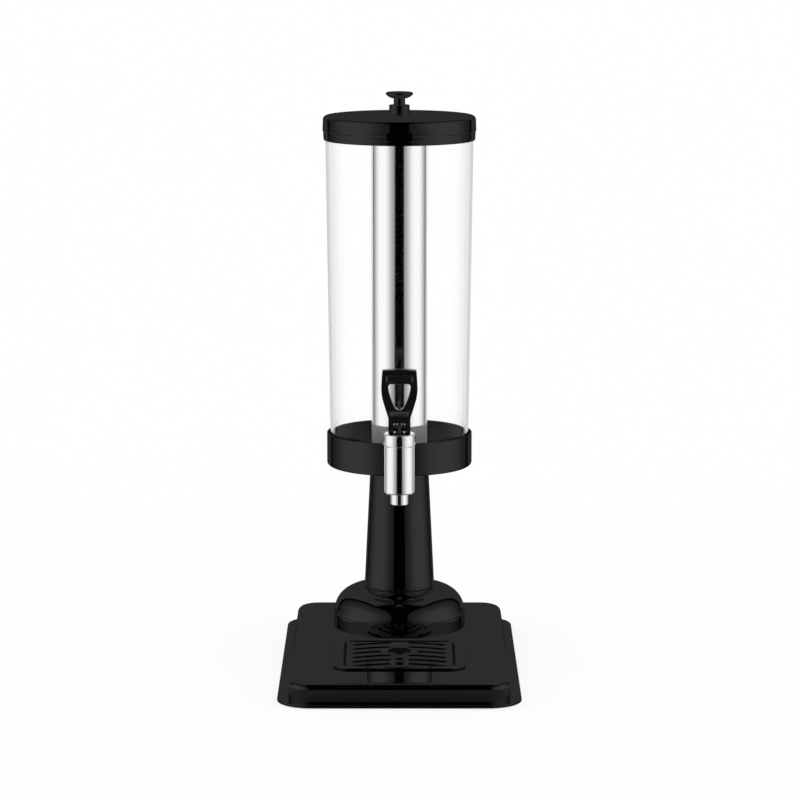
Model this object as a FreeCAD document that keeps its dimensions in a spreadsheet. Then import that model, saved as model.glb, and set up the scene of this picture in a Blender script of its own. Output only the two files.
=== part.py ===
import FreeCAD, Part
import math
import os

import Sketcher

# A table-top beer tower: a weighted base with a lift-out drip tray, a spun pedestal, a collar
# that holds a clear conical vessel, a steel ice tube hanging from the lid, and a sprung tap.
# Origin: the point on the table under the middle of the base. +Z up, the tap faces -Y.
# All sizes are in millimetres. Each one is written once, here, and kept in the sheet.

SIZES = {
    # base shell and what closes it underneath
    "deck_width": 194.5,
    "deck_depth": 313.5,
    "deck_corner": 20.0,
    "deck_height": 20.0,
    "deck_edge_round": 4.0,
    "lip_width": 9.75,
    "lip_corner": 30.0,
    "lip_thickness": 3.0,
    "lip_edge_round": 1.0,
    "shell_wall": 2.5,
    "foot_stand": 1.0,
    "foot_radius": 9.0,
    "foot_inset": 20.0,
    "foot_round": 0.6,
    "plate_recess": 1.0,
    "plate_thickness": 2.5,
    "plate_gap": 0.4,
    "screw_radius": 1.5,
    "screw_head_radius": 3.2,
    "screw_head_height": 1.2,
    "screw_bite": 9.0,
    "screw_hole_gap": 0.3,
    "thread_gap": 0.05,
    "boss_radius": 4.5,
    "boss_inset": 10.0,
    # drip tray and grille
    "tray_width": 118.0,
    "tray_depth": 111.0,
    "tray_corner": 16.0,
    "tray_rim_height": 2.5,
    "tray_rim_round": 1.2,
    "tray_wall": 1.5,
    "tray_ledge": 2.5,
    "tray_well_depth": 11.0,
    "tray_gap": 0.6,
    "tray_to_dome": 3.5,
    "grille_width": 99.0,
    "grille_depth": 92.0,
    "grille_corner": 8.0,
    "grille_thickness": 2.0,
    "grille_recess": 1.5,
    "grille_gap": 0.5,
    "slot_pitch": 15.5,
    "slot_width": 6.0,
    "slot_reach": 42.0,
    "slot_arch": 100.0,
    "slot_shift": 2.5,
    "slot_spine": 4.5,
    "boss_disc_radius": 10.5,
    "boss_disc_height": 0.8,
    "boss_disc_margin": 6.0,
    "rest_gap": 0.1,
    # pedestal
    "tower_setback": 92.75,
    "dome_radius": 61.0,
    "dome_height": 37.5,
    "dome_band": 12.5,
    "dome_step": 0.5,
    "dome_flat": 30.0,
    "dome_fullness": 0.62,
    "dome_wall": 1.5,
    "dome_hole": 12.0,
    "column_height": 115.0,
    "column_foot_radius": 32.3,
    "column_top_radius": 26.8,
    "column_wall": 2.0,
    "column_bead_height": 2.5,
    "column_bead_out": 0.5,
    "column_bead_round": 1.2,
    "locator_height": 6.0,
    "locator_gap": 0.6,
    "rod_radius": 4.0,
    "rod_hole_gap": 0.4,
    "rod_chamfer": 0.5,
    "rod_nut_flats": 13.0,
    "rod_nut_height": 6.5,
    "rod_washer_radius": 12.0,
    "rod_washer_thickness": 1.6,
    "spreader_radius": 24.0,
    "rod_end_length": 1.5,
    # collar
    "collar_radius": 67.0,
    "collar_height": 30.5,
    "collar_wall": 2.0,
    "collar_floor": 2.5,
    "collar_edge_round": 3.0,
    "collar_rim_round": 0.6,
    "collar_inner_round": 1.5,
    "spigot_depth": 12.0,
    "spigot_wall": 3.0,
    "spigot_gap": 0.3,
    "hub_flange_width": 6.0,
    "hub_flange_thickness": 1.2,
    "hub_hole_gap": 0.1,
    "cushion_thickness": 1.5,
    "cushion_width": 12.0,
    # vessel and ice tube
    "vessel_gap": 1.6,
    "vessel_height": 315.0,
    "vessel_flare": 4.4,
    "vessel_wall": 2.5,
    "vessel_floor": 4.0,
    "vessel_round": 2.0,
    "guide_gap": 1.0,
    "guide_width": 2.0,
    "guide_height": 3.0,
    "tube_radius": 25.65,
    "tube_wall": 0.8,
    "tube_floor_gap": 0.8,
    "tube_cap_depth": 6.0,
    # lid and knob
    "lid_skirt": 22.3,
    "lid_wall": 1.2,
    "lid_gap": 1.2,
    "lid_round": 4.0,
    "curl_height": 6.0,
    "curl_gap": 0.3,
    "curl_thickness": 0.6,
    "gasket_thickness": 2.5,
    "gasket_inset": 2.8,
    "ring_wall": 4.0,
    "ring_disc": 3.0,
    "ring_skirt": 14.0,
    "ring_gap": 0.15,
    "tube_seal_thickness": 1.5,
    "stud_radius": 2.5,
    "stud_hole_gap": 0.3,
    "stud_nut_flats": 8.0,
    "stud_nut_height": 4.0,
    "knob_washer_radius": 11.2,
    "knob_washer_thickness": 1.0,
    "knob_base_radius": 9.4,
    "knob_base_height": 8.6,
    "knob_neck_radius": 5.3,
    "knob_neck_height": 5.7,
    "knob_flare_height": 3.8,
    "knob_flare_round": 11.0,
    "knob_edge": 1.0,
    "knob_shoulder_inset": 1.6,
    "knob_shoulder_height": 1.1,
    "knob_crown": 0.5,
    "knob_radius": 12.4,
    # tap
    "shank_rise": 20.0,
    "shank_radius": 7.0,
    "shank_bore": 4.5,
    "shank_hole_gap": 0.3,
    "shank_shoulder_radius": 9.0,
    "shank_washer_radius": 10.5,
    "shank_washer_thickness": 3.5,
    "seal_radius": 10.0,
    "seal_squeeze": 0.05,
    "nut_seal_thickness": 2.0,
    "shank_nut_flats": 19.0,
    "shank_nut_height": 5.0,
    "shank_end_length": 2.0,
    "tap_offset": 24.0,
    "barrel_radius": 13.45,
    "barrel_below": 30.0,
    "barrel_above": 10.5,
    "barrel_chamfer": 1.5,
    "chamber_radius": 10.0,
    "shank_root": 1.0,
    "spout_radius": 7.7,
    "spout_length": 10.0,
    "spout_bore": 5.5,
    "seat_rise": 8.5,
    "seat_lip": 0.8,
    "seat_lip_width": 1.5,
    "bonnet_radius": 14.2,
    "bonnet_height": 13.8,
    "bonnet_round": 2.0,
    "bonnet_spigot": 6.5,
    "bonnet_spigot_gap": 0.1,
    "bonnet_roof": 4.4,
    "bonnet_seal_thickness": 0.7,
    "bonnet_seal_inset": 0.5,
    "spring_chamber_radius": 7.0,
    "cup_radius": 8.2,
    "cup_height": 11.0,
    "cup_lip_radius": 6.8,
    "cup_lip_height": 3.0,
    "cup_crown": 2.0,
    "cup_gap": 0.1,
    "cup_socket_depth": 6.5,
    "stem_radius": 3.5,
    "stem_running_gap": 0.05,
    "stem_flange_radius": 6.2,
    "stem_flange_height": 1.5,
    "stem_lift": 4.0,
    "stem_tip": 3.6,
    "spring_wire_radius": 0.6,
    "spring_radius": 5.2,
    "spring_turns": 4.0,
    "spring_end_gap": 0.1,
    "pin_radius": 1.6,
    "pin_running_gap": 0.05,
    "pin_fit_gap": 0.02,
    # lever
    "heel_radius": 5.2,
    "heel_front": 5.66,
    "heel_back": 6.0,
    "heel_gap": 0.3,
    "lever_half_foot": 9.9,
    "lever_half_waist": 9.8,
    "lever_half_hip": 14.1,
    "lever_half_shoulder": 16.3,
    "lever_half_top": 15.3,
    "lever_foot_top": 8.5,
    "lever_hip": 21.8,
    "lever_shoulder": 35.5,
    "lever_top": 52.7,
    "lever_crown": 0.8,
    "lever_thickness": 8.0,
    "lever_bar_height": 13.3,
    "lever_bar_thickness": 11.0,
    "lever_side_round": 46.0,
    "loop_half_width": 10.1,
    "loop_half_foot": 3.6,
    "loop_foot": 17.8,
    "loop_foot_round": 4.2,
    "loop_side_round": 33.0,
    "loop_top_round": 2.5,
    "slot_side_gap": 0.35,
    "slot_roof": 6.5,
}

SHEET_NAME = "sizes"
SLOT_ROWS = 6
DISC_ROW = 3
# A slot end is drawn a hair over half the slot, so that its arc always reaches both sides.
SLOT_END = 0.5001

document = FreeCAD.newDocument("beer_tower")
sheet = document.addObject("Spreadsheet::Sheet", SHEET_NAME)
for row, (alias, number) in enumerate(SIZES.items(), start=1):
    sheet.set("A%d" % row, alias)
    sheet.set("B%d" % row, str(number))
    sheet.setAlias("B%d" % row, alias)
document.recompute()


class Size:
    """A number together with the expression that gives it, so that a feature follows the sheet."""

    def __init__(self, value, text):
        self.value = value
        self.text = text

    def __add__(self, other):
        other = as_size(other)
        return Size(self.value + other.value, "(%s + %s)" % (self.text, other.text))

    def __sub__(self, other):
        other = as_size(other)
        return Size(self.value - other.value, "(%s - %s)" % (self.text, other.text))

    def __mul__(self, other):
        other = as_size(other)
        return Size(self.value * other.value, "(%s * %s)" % (self.text, other.text))

    def __truediv__(self, other):
        other = as_size(other)
        return Size(self.value / other.value, "(%s / %s)" % (self.text, other.text))

    def __neg__(self):
        return Size(-self.value, "(-1 * %s)" % self.text)

    def root(self):
        """Return the square root."""
        return Size(math.sqrt(self.value), "sqrt(%s)" % self.text)


def as_size(number):
    """Return a plain number as a Size, and a Size as it is."""
    if isinstance(number, Size):
        return number
    return Size(float(number), repr(float(number)))


class SheetSizes:
    """The sheet's cells, each read by its alias as a Size."""

    def __getattr__(self, alias):
        return Size(float(sheet.get(alias)), "%s.%s" % (SHEET_NAME, alias))


S = SheetSizes()
ZERO = as_size(0)

# Heights above the table and distances from the origin that several pieces share.
deck_top = S.foot_stand + S.deck_height
deck_under = deck_top - S.shell_wall
plate_low = S.foot_stand + S.plate_recess
plate_top = plate_low + S.plate_thickness
tower_y = S.deck_depth / 2 - S.tower_setback

rim_top = deck_top + S.tray_rim_height
ledge_top = rim_top - S.grille_recess - S.grille_thickness - S.rest_gap
tray_y = tower_y - S.dome_radius - S.tray_to_dome - S.tray_depth / 2

dome_top = deck_top + S.dome_height
collar_low = dome_top + S.column_height
collar_top = collar_low + S.collar_height
spigot_low = collar_low - S.spigot_depth
well_floor = spigot_low + S.spigot_wall
rod_hole = S.rod_radius + S.rod_hole_gap
rod_nut_low = well_floor + S.rod_washer_thickness
rod_top = rod_nut_low + S.rod_nut_height + S.rod_end_length
rod_nut_under = deck_under - S.rod_washer_thickness - S.rod_nut_height
rod_low = rod_nut_under - S.rod_end_length

hub_radius = S.column_top_radius - S.column_wall - S.spigot_gap
collar_inside = S.collar_radius - S.collar_wall
cushion_low = collar_low + S.collar_floor
vessel_low = cushion_low + S.cushion_thickness
vessel_foot = collar_inside - S.vessel_gap
vessel_mouth = vessel_foot + S.vessel_flare
vessel_top = vessel_low + S.vessel_height
vessel_floor_top = vessel_low + S.vessel_floor

gasket_low = vessel_top + S.rest_gap
lid_under = gasket_low + S.gasket_thickness
lid_top = lid_under + S.lid_wall
lid_low = lid_top - S.lid_skirt
lid_inside = vessel_mouth + S.lid_gap
lid_outside = lid_inside + S.lid_wall
ring_under = lid_under - S.ring_disc
tube_top = ring_under - S.tube_seal_thickness
tube_low = vessel_floor_top + S.tube_floor_gap
tube_inside = S.tube_radius - S.tube_wall

shank_z = collar_low + S.shank_rise
tap_y = tower_y - S.collar_radius - S.tap_offset
barrel_low = shank_z - S.barrel_below
barrel_top = shank_z + S.barrel_above
spout_low = barrel_low - S.spout_length
seat_z = barrel_low + S.seat_rise
bonnet_low = barrel_top + S.bonnet_seal_thickness
bonnet_top = bonnet_low + S.bonnet_height
spring_roof = bonnet_top - S.bonnet_roof
cup_low = seat_z + S.seat_lip + S.cup_gap
pin_z = bonnet_top + S.heel_gap + S.heel_radius
flange_low = barrel_top - S.bonnet_spigot + S.stem_running_gap


def bound(owner, place, size):
    """Bind one property or constraint of a feature to a Size."""
    owner.setExpression(place, size.text)


def new_body(name, along_y=None, up=None):
    """Return a body with its own label, moved along Y and up by the given sizes."""
    body = document.addObject("PartDesign::Body", name)
    body.Label = name
    if along_y is not None:
        bound(body, "Placement.Base.y", along_y)
    if up is not None:
        bound(body, "Placement.Base.z", up)
    return body


def sketch_on(body, role, lift=None):
    """Return a new sketch on one of the body's own planes, lifted along the plane's normal."""
    sketch = body.newObject("Sketcher::SketchObject", body.Name + "_sketch")
    planes = [plane for plane in body.Origin.OriginFeatures if plane.Role == role]
    sketch.AttachmentSupport = [(planes[0], "")]
    sketch.MapMode = "FlatFace"
    if lift is not None:
        bound(sketch, "AttachmentOffset.Base.z", lift)
    return sketch


def fix_point(sketch, geometry, corner, across, upward):
    """Hold one point of a sketch at its distances from the sketch's origin."""
    for kind, axis, size in (("DistanceX", -2, across), ("DistanceY", -1, upward)):
        if abs(size.value) < 1e-9:
            sketch.addConstraint(Sketcher.Constraint("PointOnObject", geometry, corner, axis))
            continue
        ends = [-1, 1, geometry, corner]
        if size.value < 0:
            ends = [geometry, corner, -1, 1]
            size = -size
        number = sketch.addConstraint(Sketcher.Constraint(kind, *ends, size.value))
        bound(sketch, "Constraints[%d]" % number, size)


def arc_between(start, finish, radius, turn):
    """Return the short arc from start to finish: turn 1 runs anticlockwise, -1 clockwise."""
    chord = finish - start
    half = chord.Length / 2
    rise = math.sqrt(max(radius * radius - half * half, 0.0))
    left = FreeCAD.Vector(-chord.y, chord.x, 0).normalize()
    centre = (start + finish) * 0.5 + left * (rise * turn)
    first, last = (start, finish) if turn > 0 else (finish, start)
    begin = math.atan2(first.y - centre.y, first.x - centre.x)
    end = math.atan2(last.y - centre.y, last.x - centre.x)
    circle = Part.Circle(centre, FreeCAD.Vector(0, 0, 1), radius)
    return Part.ArcOfCircle(circle, begin, end)


def draw(sketch, outline):
    """Draw a closed outline, anticlockwise.

    Each corner is (x, y) or (x, y, radius, turn). The radius and turn bend the edge that
    leaves the corner.
    """
    base = sketch.GeometryCount
    count = len(outline)
    corners = [tuple(as_size(number) for number in corner[:2]) for corner in outline]
    points = [FreeCAD.Vector(x.value, y.value, 0) for x, y in corners]
    ends = []
    for index, corner in enumerate(outline):
        start = points[index]
        finish = points[(index + 1) % count]
        if len(corner) == 2:
            sketch.addGeometry(Part.LineSegment(start, finish))
            ends.append((1, 2))
            continue
        turn = corner[3]
        sketch.addGeometry(arc_between(start, finish, corner[2].value, turn))
        ends.append((1, 2) if turn > 0 else (2, 1))
    for index in range(count):
        after = (index + 1) % count
        joint = (base + index, ends[index][1], base + after, ends[after][0])
        sketch.addConstraint(Sketcher.Constraint("Coincident", *joint))
    for index, corner in enumerate(outline):
        fix_point(sketch, base + index, ends[index][0], *corners[index])
        if len(corner) > 2:
            bend = Sketcher.Constraint("Radius", base + index, corner[2].value)
            bound(sketch, "Constraints[%d]" % sketch.addConstraint(bend), corner[2])


def draw_circle(sketch, radius, across=ZERO, upward=ZERO):
    """Draw a full circle about a point of the sketch."""
    centre = FreeCAD.Vector(across.value, upward.value, 0)
    number = sketch.addGeometry(Part.Circle(centre, FreeCAD.Vector(0, 0, 1), radius.value))
    fix_point(sketch, number, 3, across, upward)
    limit = Sketcher.Constraint("Radius", number, radius.value)
    bound(sketch, "Constraints[%d]" % sketch.addConstraint(limit), radius)


def rectangle(width, depth, corner, middle=ZERO):
    """Return the outline of a rectangle with round corners, centred on (0, middle)."""
    side = width / 2
    front = middle - depth / 2
    back = middle + depth / 2
    return [
        (corner - side, front),
        (side - corner, front, corner, 1),
        (side, front + corner),
        (side, back - corner, corner, 1),
        (side - corner, back),
        (corner - side, back, corner, 1),
        (-side, back - corner),
        (-side, front + corner, corner, 1),
    ]


def hexagon(flats, upward=ZERO):
    """Return the outline of a nut's hexagon, with two corners on the horizontal."""
    apothem = flats / 2
    corner = flats / math.sqrt(3)
    half = corner / 2
    return [
        (corner, upward),
        (half, upward + apothem),
        (-half, upward + apothem),
        (-corner, upward),
        (-half, upward - apothem),
        (half, upward - apothem),
    ]


def pad(body, sketch, length, symmetric=False, backwards=False):
    """Grow the sketch into the body."""
    feature = body.newObject("PartDesign::Pad", body.Name + "_pad")
    feature.Profile = sketch
    feature.Reversed = backwards
    feature.SideType = "Symmetric" if symmetric else "One side"
    bound(feature, "Length", length)
    return feature


def pocket(body, sketch, length, symmetric=False, backwards=False):
    """Cut the sketch out of the body, against the sketch's normal unless backwards."""
    feature = body.newObject("PartDesign::Pocket", body.Name + "_pocket")
    feature.Profile = sketch
    feature.Reversed = backwards
    feature.SideType = "Symmetric" if symmetric else "One side"
    bound(feature, "Length", length)
    return feature


def turned(name, outline, along_y=None):
    """Return a body turned about its own Z axis from an outline of (radius, height) corners."""
    body = new_body(name, along_y)
    sketch = sketch_on(body, "XZ_Plane")
    draw(sketch, outline)
    feature = body.newObject("PartDesign::Revolution", name + "_turn")
    feature.Profile = sketch
    feature.ReferenceAxis = (sketch, ["V_Axis"])
    feature.Angle = 360
    return body


def ring(name, inner, outer, low, high, along_y):
    """Return a plain flat ring."""
    inner = as_size(inner)
    return turned(name, [(inner, low), (outer, low), (outer, high), (inner, high)], along_y)


def hex_nut(name, flats, bore, low, height, along_y):
    """Return a hexagonal nut standing on the height low."""
    body = new_body(name, along_y)
    sketch = sketch_on(body, "XY_Plane", low)
    draw(sketch, hexagon(flats))
    draw_circle(sketch, bore)
    pad(body, sketch, height)
    return body


def edges_at(shape, height):
    """Return the names of the edges that lie flat at one height."""
    names = []
    for number, edge in enumerate(shape.Edges, start=1):
        box = edge.BoundBox
        if abs(box.ZMin - height) < 1e-4 and abs(box.ZMax - height) < 1e-4:
            names.append("Edge%d" % number)
    return names


def round_edges(body, feature, height, radius):
    """Round every edge of the feature that lies flat at one height."""
    document.recompute()
    fillet = body.newObject("PartDesign::Fillet", body.Name + "_round")
    fillet.Base = (feature, edges_at(feature.Shape, height.value))
    bound(fillet, "Radius", radius)
    return fillet


def corner_points(across, along):
    """Return the four points at the same distances either side of the base's middle."""
    return [(across * x_side, along * y_side) for x_side in (1, -1) for y_side in (1, -1)]


# --- base ------------------------------------------------------------------------------------

cavity_width = S.deck_width - S.shell_wall * 2
cavity_depth = S.deck_depth - S.shell_wall * 2
screw_points = corner_points(cavity_width / 2 - S.boss_inset, cavity_depth / 2 - S.boss_inset)
foot_points = corner_points(cavity_width / 2 - S.foot_inset, cavity_depth / 2 - S.foot_inset)

recess_width = S.grille_width + S.grille_gap * 2
recess_depth = S.grille_depth + S.grille_gap * 2
recess_corner = S.grille_corner + S.grille_gap
frame_width = recess_width + S.tray_wall * 2
frame_depth = recess_depth + S.tray_wall * 2
frame_corner = recess_corner + S.tray_wall
basin_width = recess_width - S.tray_ledge * 2
basin_depth = recess_depth - S.tray_ledge * 2
basin_corner = recess_corner - S.tray_ledge


def build_base_shell():
    """The black deck with a lip all round, hollow underneath and open for the drip tray."""
    body = new_body("base_shell")
    lip = sketch_on(body, "XY_Plane", S.foot_stand)
    lip_out = S.lip_width * 2
    draw(lip, rectangle(S.deck_width + lip_out, S.deck_depth + lip_out, S.lip_corner))
    rim = pad(body, lip, S.lip_thickness)
    round_edges(body, rim, S.foot_stand + S.lip_thickness, S.lip_edge_round)
    deck = sketch_on(body, "XY_Plane", S.foot_stand)
    draw(deck, rectangle(S.deck_width, S.deck_depth, S.deck_corner))
    top = pad(body, deck, S.deck_height)
    round_edges(body, top, deck_top, S.deck_edge_round)
    cavity = sketch_on(body, "XY_Plane", S.foot_stand)
    draw(cavity, rectangle(cavity_width, cavity_depth, S.deck_corner - S.shell_wall))
    pocket(body, cavity, deck_under - S.foot_stand, backwards=True)
    bosses = sketch_on(body, "XY_Plane", plate_top)
    for across, along in screw_points:
        draw_circle(bosses, S.boss_radius, across, along)
    pad(body, bosses, deck_under - plate_top)
    opening = sketch_on(body, "XY_Plane", deck_top)
    gap = S.tray_gap * 2
    draw(opening, rectangle(frame_width + gap, frame_depth + gap, frame_corner + S.tray_gap, tray_y))
    draw_circle(opening, rod_hole, ZERO, tower_y)
    pocket(body, opening, S.shell_wall)
    pilots = sketch_on(body, "XY_Plane", plate_top)
    for across, along in screw_points:
        draw_circle(pilots, S.screw_radius + S.thread_gap, across, along)
    pocket(body, pilots, S.screw_bite + S.screw_radius, backwards=True)
    return body


def build_bottom_plate():
    """The steel plate that closes and weights the base."""
    body = new_body("bottom_plate")
    outline = sketch_on(body, "XY_Plane", plate_low)
    gap = S.plate_gap * 2
    corner = S.deck_corner - S.shell_wall - S.plate_gap
    draw(outline, rectangle(cavity_width - gap, cavity_depth - gap, corner))
    for across, along in screw_points:
        draw_circle(outline, S.screw_radius + S.screw_hole_gap, across, along)
    pad(body, outline, S.plate_thickness)
    return body


def build_plate_screws():
    """The pan-head screws that hold the bottom plate to the shell's bosses."""
    body = new_body("plate_screws")
    heads = sketch_on(body, "XY_Plane", plate_low)
    shafts = sketch_on(body, "XY_Plane", plate_low)
    for across, along in screw_points:
        draw_circle(heads, S.screw_head_radius, across, along)
        draw_circle(shafts, S.screw_radius, across, along)
    pad(body, heads, S.screw_head_height, backwards=True)
    pad(body, shafts, S.plate_thickness + S.screw_bite)
    return body


def build_rubber_feet():
    """Four feet stuck under the bottom plate, just proud of the shell's lip."""
    body = new_body("rubber_feet")
    discs = sketch_on(body, "XY_Plane")
    for across, along in foot_points:
        draw_circle(discs, S.foot_radius, across, along)
    feet = pad(body, discs, plate_low)
    round_edges(body, feet, ZERO, S.foot_round)
    return body


def build_drip_tray():
    """The lift-out tray: a rim that lies on the deck, a ledge for the grille and a basin."""
    body = new_body("drip_tray", tray_y)
    rim = sketch_on(body, "XY_Plane", deck_top)
    draw(rim, rectangle(S.tray_width, S.tray_depth, S.tray_corner))
    plate = pad(body, rim, S.tray_rim_height)
    round_edges(body, plate, rim_top, S.tray_rim_round)
    frame = sketch_on(body, "XY_Plane", ledge_top - S.tray_wall)
    draw(frame, rectangle(frame_width, frame_depth, frame_corner))
    pad(body, frame, deck_top - ledge_top + S.tray_wall)
    basin = sketch_on(body, "XY_Plane", ledge_top - S.tray_wall)
    wall = S.tray_wall * 2
    draw(basin, rectangle(basin_width + wall, basin_depth + wall, basin_corner + S.tray_wall))
    pad(body, basin, S.tray_well_depth, backwards=True)
    recess = sketch_on(body, "XY_Plane", rim_top)
    draw(recess, rectangle(recess_width, recess_depth, recess_corner))
    pocket(body, recess, rim_top - ledge_top)
    inside = sketch_on(body, "XY_Plane", ledge_top)
    draw(inside, rectangle(basin_width, basin_depth, basin_corner))
    pocket(body, inside, S.tray_well_depth)
    return body


def slot_outline(row_y, inner, side):
    """Return one arched slot on one side of the grille's spine."""
    centre_y = row_y - S.slot_arch
    rings = [S.slot_arch - S.slot_width / 2, S.slot_arch + S.slot_width / 2]

    def height(radius, across):
        return centre_y + (radius * radius - across * across).root()

    near = inner
    far = S.slot_reach
    low_near, high_near = [height(radius, near) for radius in rings]
    low_far, high_far = [height(radius, far) for radius in rings]
    near_round = (high_near - low_near) * SLOT_END
    far_round = (high_far - low_far) * SLOT_END
    if side > 0:
        return [
            (near, low_near, rings[0], -1),
            (far, low_far, far_round, 1),
            (far, high_far, rings[1], 1),
            (near, high_near, near_round, 1),
        ]
    return [
        (-far, low_far, rings[0], -1),
        (-near, low_near, near_round, 1),
        (-near, high_near, rings[1], 1),
        (-far, high_far, far_round, 1),
    ]


def build_drip_grille():
    """The grille: arched slots either side of a spine, and a plain raised disc under the spout."""
    body = new_body("drip_grille", tray_y)
    plate = sketch_on(body, "XY_Plane", ledge_top + S.rest_gap)
    draw(plate, rectangle(S.grille_width, S.grille_depth, S.grille_corner))
    pad(body, plate, S.grille_thickness)
    middle = (SLOT_ROWS - 1) / 2
    disc_y = S.slot_shift + S.slot_pitch * (DISC_ROW - middle)
    disc = sketch_on(body, "XY_Plane", ledge_top + S.rest_gap)
    draw_circle(disc, S.boss_disc_radius, ZERO, disc_y)
    pad(body, disc, S.grille_thickness + S.boss_disc_height)
    slots = sketch_on(body, "XY_Plane", ledge_top + S.rest_gap)
    keep_out = S.boss_disc_radius + S.boss_disc_margin + S.slot_width / 2
    for row_number in range(SLOT_ROWS):
        row_y = S.slot_shift + S.slot_pitch * (row_number - middle)
        offset = row_y - disc_y
        inner = S.slot_spine + S.slot_width / 2
        if abs(offset.value) < keep_out.value:
            shortened = (keep_out * keep_out - offset * offset).root()
            if shortened.value > inner.value:
                inner = shortened
        for side in (1, -1):
            draw(slots, slot_outline(row_y, inner, side))
    pocket(body, slots, S.grille_thickness + S.boss_disc_height, backwards=True)
    return body


# --- pedestal --------------------------------------------------------------------------------

def bezier(*poles):
    """Return a curve in the XZ plane from its poles, given as (radius, height)."""
    curve = Part.BezierCurve()
    curve.setPoles([FreeCAD.Vector(x.value, 0, z.value) for x, z in poles])
    return curve.toShape()


def line(start, finish):
    """Return a straight edge in the XZ plane between two (radius, height) points."""
    ends = [FreeCAD.Vector(x.value, 0, z.value) for x, z in (start, finish)]
    return Part.makeLine(*ends)


def build_pedestal_dome():
    """The spun bell under the column: a short upright band, a step, then a full shoulder."""
    band_top = deck_top + S.dome_band
    hip = S.dome_radius - S.dome_step
    hip_inside = hip - S.dome_wall
    under = dome_top - S.dome_wall

    def shoulder(hip_radius, summit):
        reach = hip_radius - S.dome_flat
        rise = summit - band_top
        return bezier(
            (hip_radius, band_top),
            (hip_radius, band_top + rise * S.dome_fullness),
            (S.dome_flat + reach * S.dome_fullness, summit),
            (S.dome_flat, summit),
        )

    edges = [
        line((S.dome_radius, deck_top), (S.dome_radius, band_top)),
        line((S.dome_radius, band_top), (hip, band_top)),
        shoulder(hip, dome_top),
        line((S.dome_flat, dome_top), (S.dome_hole, dome_top)),
        line((S.dome_hole, dome_top), (S.dome_hole, under)),
        line((S.dome_hole, under), (S.dome_flat, under)),
        shoulder(hip_inside, under),
        line((hip_inside, band_top), (hip_inside, deck_top)),
        line((hip_inside, deck_top), (S.dome_radius, deck_top)),
    ]
    outline = Part.Face(Part.Wire(Part.__sortEdges__(edges)))
    axis = FreeCAD.Vector(0, 0, 1)
    dome = document.addObject("Part::Feature", "pedestal_dome")
    dome.Label = "pedestal_dome"
    dome.Shape = outline.revolve(FreeCAD.Vector(0, 0, 0), axis, 360)
    dome.Placement = FreeCAD.Placement(FreeCAD.Vector(0, tower_y.value, 0), FreeCAD.Rotation())
    return dome


def build_pedestal_column():
    """The tapering column with a small bead round its foot."""
    bead_radius = S.column_foot_radius + S.column_bead_out
    bead_top = dome_top + S.column_bead_height
    return turned("pedestal_column", [
        (S.column_foot_radius - S.column_wall, dome_top),
        (bead_radius - S.column_bead_round, dome_top, S.column_bead_round, 1),
        (bead_radius, dome_top + S.column_bead_round),
        (bead_radius, bead_top - S.column_bead_out, S.column_bead_out, 1),
        (S.column_foot_radius, bead_top),
        (S.column_top_radius, collar_low),
        (S.column_top_radius - S.column_wall, collar_low),
    ], tower_y)


def build_column_locator():
    """The disc inside the column's foot that centres it on the dome's hole."""
    disc = S.column_foot_radius - S.column_wall - S.locator_gap
    spigot = S.dome_hole - S.spigot_gap
    under = dome_top - S.dome_wall
    return turned("column_locator", [
        (rod_hole, under),
        (spigot, under),
        (spigot, dome_top),
        (disc, dome_top),
        (disc - S.column_bead_round, dome_top + S.locator_height),
        (rod_hole, dome_top + S.locator_height),
    ], tower_y)


def build_tie_rod():
    """The threaded rod that clamps collar, column, dome and deck into one."""
    return turned("tie_rod", [
        (0, rod_low),
        (S.rod_radius - S.rod_chamfer, rod_low),
        (S.rod_radius, rod_low + S.rod_chamfer),
        (S.rod_radius, rod_top - S.rod_chamfer),
        (S.rod_radius - S.rod_chamfer, rod_top),
        (0, rod_top),
    ], tower_y)


def build_rod_fasteners():
    """The washer and nut in the collar's well, and the spreader and nut under the deck."""
    bore = S.rod_radius + S.thread_gap
    height = S.rod_nut_height
    flats = S.rod_nut_flats
    return [
        ring("rod_top_washer", rod_hole, S.rod_washer_radius, well_floor, rod_nut_low, tower_y),
        hex_nut("rod_top_nut", flats, bore, rod_nut_low, height, tower_y),
        ring("rod_spreader", rod_hole, S.spreader_radius,
             deck_under - S.rod_washer_thickness, deck_under, tower_y),
        hex_nut("rod_bottom_nut", flats, bore, rod_nut_under, height, tower_y),
    ]


# --- collar and vessel -----------------------------------------------------------------------

def drill_front(body, radius):
    """Drill the body's front wall for the tap's shank."""
    hole = sketch_on(body, "XZ_Plane")
    draw_circle(hole, radius, ZERO, shank_z)
    pocket(body, hole, S.collar_radius * 2, backwards=True)


def build_collar_cup():
    """The black cup that holds the vessel, with a round hole in its floor for the hub."""
    hole = hub_radius + S.hub_hole_gap
    rim = S.collar_rim_round
    floor = collar_low + S.collar_floor
    body = turned("collar_cup", [
        (hole, collar_low),
        (S.collar_radius - S.collar_edge_round, collar_low, S.collar_edge_round, 1),
        (S.collar_radius, collar_low + S.collar_edge_round),
        (S.collar_radius, collar_top - rim, rim, 1),
        (S.collar_radius - rim, collar_top),
        (collar_inside + rim, collar_top, rim, 1),
        (collar_inside, collar_top - rim),
        (collar_inside, floor + S.collar_inner_round, S.collar_inner_round, -1),
        (collar_inside - S.collar_inner_round, floor),
        (hole, floor),
    ], tower_y)
    drill_front(body, S.shank_radius + S.shank_hole_gap)
    return body


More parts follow.
